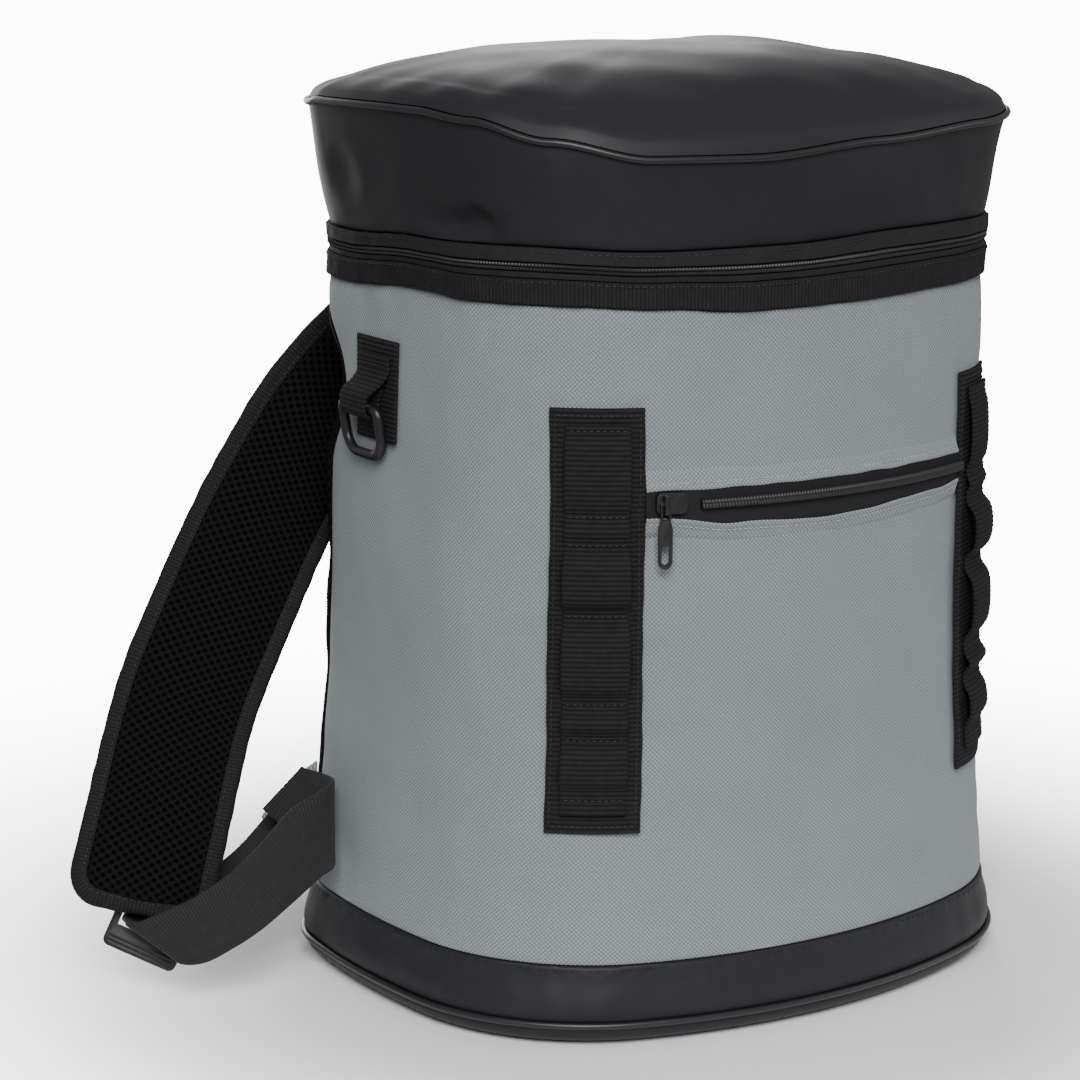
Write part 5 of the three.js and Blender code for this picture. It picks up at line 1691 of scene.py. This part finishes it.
@dataclass
class ShoulderStrap:
    """One padded shoulder strap with its binding, lock, adjuster webbing, side tab and anchor tab."""

    side: Side
    width: float = 0.062
    pad: float = 0.010
    edge: float = 0.0064
    binding: float = 0.007
    end_round: float = 0.015
    top_round: float = 0.006
    swing: float = 28.0
    anchor: tuple[float, float] = (-0.036, 0.111)
    anchor_z: float = 0.286
    anchor_thick: float = 0.0024
    back_face: float = 0.007
    line: tuple[tuple[float, ...], ...] = (
        (-0.034, 0.117, 0.279, 0, 0), (-0.058, 0.121, 0.269, -5, 0.3), (-0.080, 0.124, 0.254, -10, 0.6),
        (-0.103, 0.125, 0.231, -18, 0.85), (-0.124, 0.122, 0.205, -25, 1), (-0.141, 0.117, 0.184, -30, 1),
        (-0.164, 0.108, 0.153, -34, 1), (-0.188, 0.098, 0.118, -35, 1), (-0.215, 0.077, 0.072, -35, 1),
        (-0.2315, 0.066, 0.0375, -35, 1),
    )
    lock: tuple[tuple[float, ...], ...] = (
        (-0.2225, 0.071, 0.028), (0.707, -0.588, -0.388), (-0.558, -0.804, 0.207),
    )
    rear: tuple[tuple[float, ...], ...] = (
        (-0.146, 0.087, 0.071, -0.1395, 0.076, 0.050, 0), (-0.159, 0.084, 0.063, -0.150, 0.072, 0.042, 0),
        (-0.174, 0.0795, 0.054, -0.166, 0.0685, 0.033, 0.3),
        (-0.190, 0.0765, 0.047, -0.183, 0.0655, 0.0255, 0.65),
        (-0.2045, 0.0745, 0.0413, -0.1975, 0.0645, 0.0193, 0.95),
    )
    front: tuple[tuple[float, ...], ...] = (
        (-0.238, 0.061, 0.036, -0.221, 0.045, 0.020, 1), (-0.225, 0.054, 0.041, -0.213, 0.040, 0.020, 0.97),
        (-0.213, 0.045, 0.0485, -0.205, 0.034, 0.0255, 0.9),
        (-0.200, 0.0385, 0.0585, -0.194, 0.0275, 0.0337, 0.75),
        (-0.186, 0.040, 0.067, -0.1775, 0.028, 0.043, 0.6),
        (-0.1685, 0.0445, 0.0785, -0.1605, 0.0315, 0.0507, 0.45),
        (-0.149, 0.045, 0.086, -0.152, 0.038, 0.051, 0.3), (-0.1445, 0.049, 0.0875, -0.148, 0.043, 0.052, 0.3),
        (-0.144, 0.055, 0.088, -0.150, 0.052, 0.054, 0.3), (-0.146, 0.061, 0.0885, -0.157, 0.062, 0.061, 0.3),
        (-0.149, 0.066, 0.089, -0.166, 0.073, 0.072, 0.3),
    )
    thread: Rows = (
        (0.006, 0.007, 0.3, -0.0052), (0.001, 0.0034, 0.1, -0.003), (0, 0.0014, 0, -0.0006),
        (0, 0.0008, 0, 0.0024),
        (0.0005, 0.0006, 0, 0.007), (0.0025, 0, 0.1, 0.0124),
    )
    keeper: Rows = (
        (-0.003, 0.018, -0.3, -0.0023), (-0.0015, 0.0155, -0.15, -0.0006), (0, 0.0137, 0, 0.0024),
        (0, 0.0106, 0, 0.0023),
        (0, 0.0091, 0, 0.0017), (0, 0.0091, 0, -0.0017), (0, 0.0106, 0, -0.0024), (0, 0.0132, 0, -0.0025),
        (-0.0015, 0.016, -0.15, -0.0026), (-0.003, 0.018, -0.3, -0.0042),
    )
    wing: tuple[tuple[float, ...], ...] = (
        (-0.1286, 0.0884, 0.084, -0.1292, 0.0894, 0.047, 0), (-0.140, 0.090, 0.077, -0.137, 0.086, 0.045, 0),
        (-0.150, 0.090, 0.069, -0.143, 0.081, 0.044, 0), (-0.157, 0.0885, 0.063, -0.149, 0.0765, 0.041, 0),
    )

    def __post_init__(self) -> None:
        """Works out the strap's middle line and the turn of its face along it."""
        rows = np.array(self.line)
        mirrored = 1 if self.side is Side.LEFT else -1
        turns = mirrored * rows[:, 3] + (0 if self.side is Side.LEFT else self.swing * rows[:, 4])
        self.curve, row = smooth_path(self.swung(rows[:, :3], rows[:, 4]), 0.0005)
        self.faces = np.interp(row, np.arange(len(rows)), np.radians(turns))
        self.run = distances(self.curve)
        self.length = float(self.run[-1])
        self.tangents = unit(np.gradient(self.curve, axis=0))

    def swung(self, points: Array, swing: Array) -> Array:
        """Places points of the left strap on this side: mirrored and swung back for the right one."""
        points = np.atleast_2d(points).astype(float)
        if self.side is Side.LEFT:
            return points
        a = np.radians(self.swing * np.asarray(swing, dtype=float))
        dx, dy = -points[:, 0] + self.anchor[0], points[:, 1] - self.anchor[1]
        x, y = dx * np.cos(a) - dy * np.sin(a), dx * np.sin(a) + dy * np.cos(a)
        return np.stack([x - self.anchor[0], y + self.anchor[1], points[:, 2]], axis=-1)

    def at(self, down: Array, across: Array, height: Array) -> Array:
        """Points of the strap: distance down it, across it, and height towards its mesh side."""
        values = (np.asarray(a, dtype=float) for a in (down, across, height))
        down, across, height = np.broadcast_arrays(*values)
        inside = np.clip(down, 0, self.length)
        middle, along = (
            np.stack([np.interp(inside, self.run, table[:, k]) for k in range(3)], axis=-1)
            for table in (self.curve, self.tangents)
        )
        along = unit(along)
        face = np.interp(inside, self.run, self.faces)
        normal = np.stack([np.sin(face), -np.cos(face), 0 * face], axis=-1)
        normal = unit(normal - along * (normal * along).sum(-1, keepdims=True))
        wide = unit(np.cross(along, normal)) * (1 if self.side is Side.LEFT else -1)
        return middle + along * (down - inside)[:, None] + wide * across[:, None] + normal * height[:, None]

    def half(self, down: Array, inset: float) -> Array:
        """Half width of the strap's outline, drawn in by an inset, with rounded ends."""
        full = self.width / 2
        half = np.full_like(down, full - inset)
        for run, round_end in ((down, self.top_round), (self.length - down, self.end_round)):
            r = max(round_end - inset, 0)
            arc = full - round_end + np.sqrt(np.maximum(0, r * r - np.maximum(0, round_end - run) ** 2))
            half = np.where(run < round_end, np.minimum(half, arc), half)
        return half

    def padding(self) -> None:
        """The pad: knitted mesh towards the wearer, woven cloth outside."""
        inset = self.binding - 0.0012
        rim_drop = 0.0012
        front, back = 84, 14
        shares = np.r_[np.linspace(-1, 1, front + 1), np.linspace(1, -1, back + 1)]
        way = np.r_[np.ones(front + 1), -np.ones(back + 1)]
        rows = len(shares)
        columns = round((self.length - 2 * inset) / 0.00075)
        start, stop = inset, self.length - inset

        def split(u: Array, v: Array) -> tuple[Array, Array, Array, Array]:
            """Distance down, share across, half width and side of the grid's points."""
            j = np.rint(v * rows).astype(int) % rows
            down = start + (stop - start) * u
            return down, shares[j], self.half(np.maximum(down, self.top_round), inset), way[j]

        def place(u: Array, v: Array) -> Array:
            """Points of the pad."""
            down, share, half, face = split(u, v)
            flat = np.column_stack([down, share * half, 0 * down])
            rim = np.minimum((1 - np.abs(share)) * half, np.minimum(down - start, stop - down))
            ends = np.clip(rim / 0.006, 0, 1)
            crown = self.edge / 2 - rim_drop + (self.pad - self.edge) / 2 * (1 - share**2)
            crown += rim_drop * np.sin(ends * math.pi / 2)
            crown += 0.0006 * waves(flat, 0.045, 81) * ends
            cell = np.cos(math.tau * down / 0.0040) * np.cos(math.tau * (share * half) / 0.0048)
            crown -= np.where(face > 0, 0.00075 * np.clip(1.5 * cell, 0, 1) * ends, 0)
            return self.at(down, share * half, face * crown)

        def metric(u: Array, v: Array) -> Array:
            """UV in metres: down the strap and across it."""
            down, share, half, face = split(u, v)
            return np.stack([down, share * half * face], axis=-1)

        pad = wrapped_grid(f"strap_pad_mesh_{self.side.value}", columns, rows, place, metric)
        pad.data.materials.append(MESH.make())
        pad.data.materials.append(GREY.make())
        normals = np.empty(len(pad.data.polygons) * 3)
        centres = np.empty(len(pad.data.polygons) * 3)
        pad.data.polygons.foreach_get("normal", normals)
        pad.data.polygons.foreach_get("center", centres)
        normals, centres = normals.reshape(-1, 3), centres.reshape(-1, 3)
        near = np.array([np.argmin(((self.curve[::20] - c) ** 2).sum(-1)) for c in centres]) * 20
        face = self.faces[np.minimum(near, len(self.faces) - 1)]
        outward = normals[:, 0] * np.sin(face) - normals[:, 1] * np.cos(face)
        pad.data.polygons.foreach_set("material_index", (outward < -0.2).astype(int))
        finish_piece(pad, MESH, [f"strap_pad_{self.side.value}"])

    def outline(self, inset: float) -> Array:
        """Closed line round the strap at an inset: rows of (down, across)."""
        full = self.width / 2
        points = []
        for down, across, r, start in (
            (self.length - self.end_round, full - self.end_round, self.end_round - inset, 90),
            (self.length - self.end_round, self.end_round - full, self.end_round - inset, 0),
            (self.top_round, self.top_round - full, self.top_round - inset, -90),
            (self.top_round, full - self.top_round, self.top_round - inset, -180),
        ):
            for i in range(10):
                a = math.radians(start - 10 * i)
                points.append((down + max(r, 0.0005) * math.cos(a), across + max(r, 0.0005) * math.sin(a)))
        return np.array([*points, points[0]])

    def bind(self) -> None:
        """The tape folded round the pad's edge, and the stitches along it."""
        line = self.outline(self.binding / 2)
        run = distances(line)
        count = round(run[-1] / 0.0008)
        at = np.linspace(0, run[-1], count + 1)
        line = np.stack([np.interp(at, run, line[:, k]) for k in range(2)], axis=-1)
        along = np.gradient(np.vstack([line[-2], line, line[1]]), axis=0)[1:-1]
        away = unit(np.column_stack([-along[:, 1], along[:, 0]]))
        centre = line.mean(axis=0)
        if ((line - centre) * away).sum() < 0:
            away = -away
        w, h = self.binding / 2, self.edge / 2 + 0.0003
        section = np.array([
            (w, 0.0), (w - 0.0001, 0.4 * h), (w - 0.0006, 0.74 * h), (w - 0.0016, 0.95 * h), (w - 0.003, h),
            (0.4 * w, h), (0, 0.98 * h), (-0.5 * w, 0.97 * h), (-0.85 * w, 0.98 * h), (-w, 0.9 * h),
            (-w, 0.6 * h), (-w, -0.6 * h),
            (-w, -0.9 * h), (-0.85 * w, -0.98 * h), (0, -0.98 * h), (w - 0.003, -h), (w - 0.0016, -0.95 * h),
            (w - 0.0006, -0.74 * h), (w - 0.0001, -0.4 * h), (w, 0.0),
        ])
        around = distances(section)

        def place(u: Array, v: Array) -> Array:
            """Points of the binding."""
            i, j = np.rint(u * count).astype(int) % count, np.rint(v * (len(section) - 1)).astype(int)
            side, height = section[j].T
            ripple = 0.00018 * waves(np.column_stack([line[i], 0 * side]), 0.009, 91)
            side = np.where(side > 0, side + ripple, side)
            spot = line[i] + away[i] * side[:, None]
            return self.at(spot[:, 0], spot[:, 1], height * (1 + ripple / h))

        def metric(u: Array, v: Array) -> Array:
            """UV in metres."""
            return np.stack([u * run[-1], around[np.rint(v * (len(section) - 1)).astype(int)]], axis=-1)

        label = self.side.value
        finish_piece(
            wrapped_grid(f"strap_binding_tape_{label}", count, len(section) - 1, place, metric),
            BINDING,
            [f"strap_binding_{label}"],
        )
        seam = line - away * (0.55 * w)
        points = self.at(seam[:, 0], seam[:, 1], np.full(len(seam), h))
        away_line = self.at(seam[:, 0], seam[:, 1], np.full(len(seam), 0.02)) - points
        row = Stitch(0.0022, 0.0030, 0.0003).row(f"strap_stitches_{label}", points, away_line)
        finish_piece(row, DARK_THREAD)

    def lock_points(self, rows: Rows) -> tuple[Array, Array]:
        """Edges of webbing through the lock, from (shift, z, tilt, out) rows in the lock's own frame."""
        middle = np.array(self.lock[0])
        place = self.swung(middle, 1)[0]
        bar, face = (unit(self.swung(middle + np.array(v), 1)[0] - place) for v in self.lock[1:])
        bar = bar if self.side is Side.LEFT else -bar
        face = unit(face - bar * (face @ bar))
        up = np.cross(face, bar)
        sign = 1 if self.side is Side.LEFT else -1
        edges: list[list[Array]] = [[], []]
        for shift, z, tilt, out in rows:
            dx, dz = 0.0125 * math.cos(tilt), 0.0125 * math.sin(tilt)
            for edge, x, height in ((0, shift - dx, z + dz), (1, shift + dx, z - dz)):
                edges[edge].append(place + bar * sign * x + face * out + up * height)
        return np.array(edges[0]), np.array(edges[1])

    def edges(self, rows: Sequence[Sequence[float]]) -> tuple[Array, Array]:
        """Upper and lower edges of a webbing from its rows, placed on this side."""
        table = np.array(rows)
        return self.swung(table[:, :3], table[:, 6]), self.swung(table[:, 3:6], table[:, 6])

    def webbings(self) -> None:
        """The adjuster webbing, the keeper through the lock, the side tab and the anchor tab."""
        label = self.side.value
        parts = [self.edges(self.rear), self.lock_points(self.thread), self.edges(self.front)]
        up, low = (np.concatenate([part[k] for part in parts]) for k in (0, 1))
        strap, length = ribbon(f"adjuster_strap_{label}", up, low, 0.0015, 0.0013)
        finish_piece(strap, FINE_WEBBING, [f"adjuster_webbing_{label}"])
        LOG.info("%s is %.0f mm long", strap.name, length * 1000)
        keeper, length = ribbon(f"keeper_loop_{label}", *self.lock_points(self.keeper), 0.0015, 0.0013)
        finish_piece(keeper, FINE_WEBBING, [f"keeper_webbing_{label}"])
        wing, length = ribbon(f"side_tab_{label}", *self.edges(self.wing), 0.002, 0.002, 0.0)
        finish_piece(wing, GREY, [f"strap_wing_{label}"])
        self.anchor_tab(label)

    def anchor_tab(self, label: str) -> None:
        """The tab that carries the strap's top end on the back panel."""
        plan = Plan()
        back = plan.depth / 2 + self.back_face + self.anchor_thick / 2
        half = self.width / 2 - self.top_round
        ends = [(self.at([d], [-half], [0.0])[0], self.at([d], [half], [0.0])[0]) for d in (-GAP, -0.0025)]
        for x, y in ((0.021, back + 0.001), (0.0125, back), (0.004, back)):
            middle = np.array([self.side.sign * x, y, self.anchor_z])
            ends.append((middle + (0, 0, half), middle - (0, 0, half)))
        up, low = (np.array([e[k] for e in ends]) for k in (0, 1))
        tab, _ = ribbon(f"anchor_tab_{label}", up, low, self.anchor_thick, 0.002)
        finish_piece(tab, WEBBING, [f"strap_anchor_{label}"])

    def build(self) -> None:
        """Builds the strap."""
        self.padding()
        self.bind()
        self.webbings()


# Studio


@dataclass
class Studio:
    """Pale floor, soft lights and the camera at the photograph's angle; backdrop and ambient are strengths."""

    eye: tuple[float, float, float] = (-0.8583, -1.1353, 0.4839)
    right: tuple[float, float, float] = (0.8224, -0.5689, 0.0058)
    up: tuple[float, float, float] = (0.1129, 0.1731, 0.9784)
    forward: tuple[float, float, float] = (0.5576, 0.8040, -0.2066)
    lens: float = 111.3
    ambient: float = 0.33
    backdrop: float = 12.0
    floor_solid: float = 0.17  # inside this radius the floor is whole
    floor_gone: float = 0.62  # past this one it is clear

    def floor(self) -> None:
        """A wide plain floor."""
        deselect()
        bpy.ops.mesh.primitive_circle_add(vertices=96, radius=1.0, fill_type="NGON", location=(0, 0, -0.0004))
        floor = bpy.context.active_object
        floor.name = "studio_floor"
        material = bpy.data.materials.new("matt_pale_backdrop")
        material.use_nodes = True
        shader = material.node_tree.nodes["Principled BSDF"]
        shader.inputs["Base Color"].default_value = linear("#FCFCFC")
        shader.inputs["Roughness"].default_value = 0.9
        # The floor thins out away from the bag, so it runs into the bright backdrop with no horizon.
        tree = material.node_tree
        away = add_node(tree, "ShaderNodeVectorMath", {"operation": "LENGTH"})
        tree.links.new(add_node(tree, "ShaderNodeTexCoord").outputs["Object"], away.inputs[0])
        fade = add_node(tree, "ShaderNodeMapRange", {"interpolation_type": "SMOOTHSTEP"})
        tree.links.new(away.outputs["Value"], fade.inputs["Value"])
        span = {"From Min": self.floor_solid, "From Max": self.floor_gone, "To Min": 1.0, "To Max": 0.0}
        for socket, value in span.items():
            fade.inputs[socket].default_value = value
        tree.links.new(fade.outputs["Result"], shader.inputs["Alpha"])
        floor.data.materials.append(material)

    def light(self, name: str, at: tuple[float, float, float], size: float, power: float) -> None:
        """A square soft light aimed at the middle of the bag.

        Args:
            name: name of the light.
            at: where it hangs.
            size: length of its sides.
            power: its power in watts.
        """
        deselect()
        bpy.ops.object.light_add(type="AREA", location=at)
        lamp = bpy.context.active_object
        lamp.name = name
        lamp.data.shape = "SQUARE"
        lamp.data.size = size
        lamp.data.energy = power
        lamp.visible_camera = False
        aim = Vector((0, 0, 0.2)) - Vector(at)
        lamp.rotation_euler = aim.to_track_quat("-Z", "Y").to_euler()

    def camera(self) -> None:
        """The camera, fitted to the photograph."""
        deselect()
        bpy.ops.object.camera_add()
        camera = bpy.context.active_object
        camera.name = "photo_camera"
        axes = Matrix((self.right, self.up, tuple(-c for c in self.forward))).transposed()
        camera.matrix_world = Matrix.Translation(self.eye) @ axes.to_4x4()
        camera.data.sensor_width = 36
        camera.data.lens = self.lens
        camera.data.clip_start = 0.05
        camera.data.clip_end = 30
        bpy.context.scene.camera = camera

    def build(self) -> None:
        """Sets up the studio."""
        self.floor()
        world = bpy.data.worlds.new("studio_world")
        world.use_nodes = True
        tree = world.node_tree
        seen = add_node(tree, "ShaderNodeLightPath").outputs["Is Camera Ray"]
        strength = maths(tree, "MULTIPLY_ADD", seen, self.backdrop - self.ambient, self.ambient)
        tree.links.new(strength, tree.nodes["Background"].inputs[1])
        tree.nodes["Background"].inputs[0].default_value = (1, 1, 1, 1)
        bpy.context.scene.world = world
        self.light("softbox_front_left", (-1.3, -1.9, 1.75), 1.3, 92)
        self.light("softbox_front_right", (1.9, -1.2, 0.9), 1.2, 9)
        self.light("softbox_rear", (0.4, 2.3, 0.45), 1.2, 26)
        self.light("softbox_top_back", (0.85, 1.3, 0.95), 0.4, 7)
        self.camera()


def main() -> None:
    """Builds the studio and every sub-assembly, in order."""
    logging.basicConfig(level=logging.INFO, format="%(name)s %(message)s")
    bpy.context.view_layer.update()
    plan = Plan()
    Studio().build()
    tub = Tub(plan)
    tub.build()
    ZipBand(plan).build()
    Lid(plan).build(tub)
    for ladder_side in Side:
        WebbingLadder(plan, ladder_side).build()
    PocketZip(plan, tub).build()
    Fittings().build()
    RingTab(plan).build()
    for strap_side in Side:
        ShoulderStrap(strap_side).build()


if __name__ == "__main__":
    main()
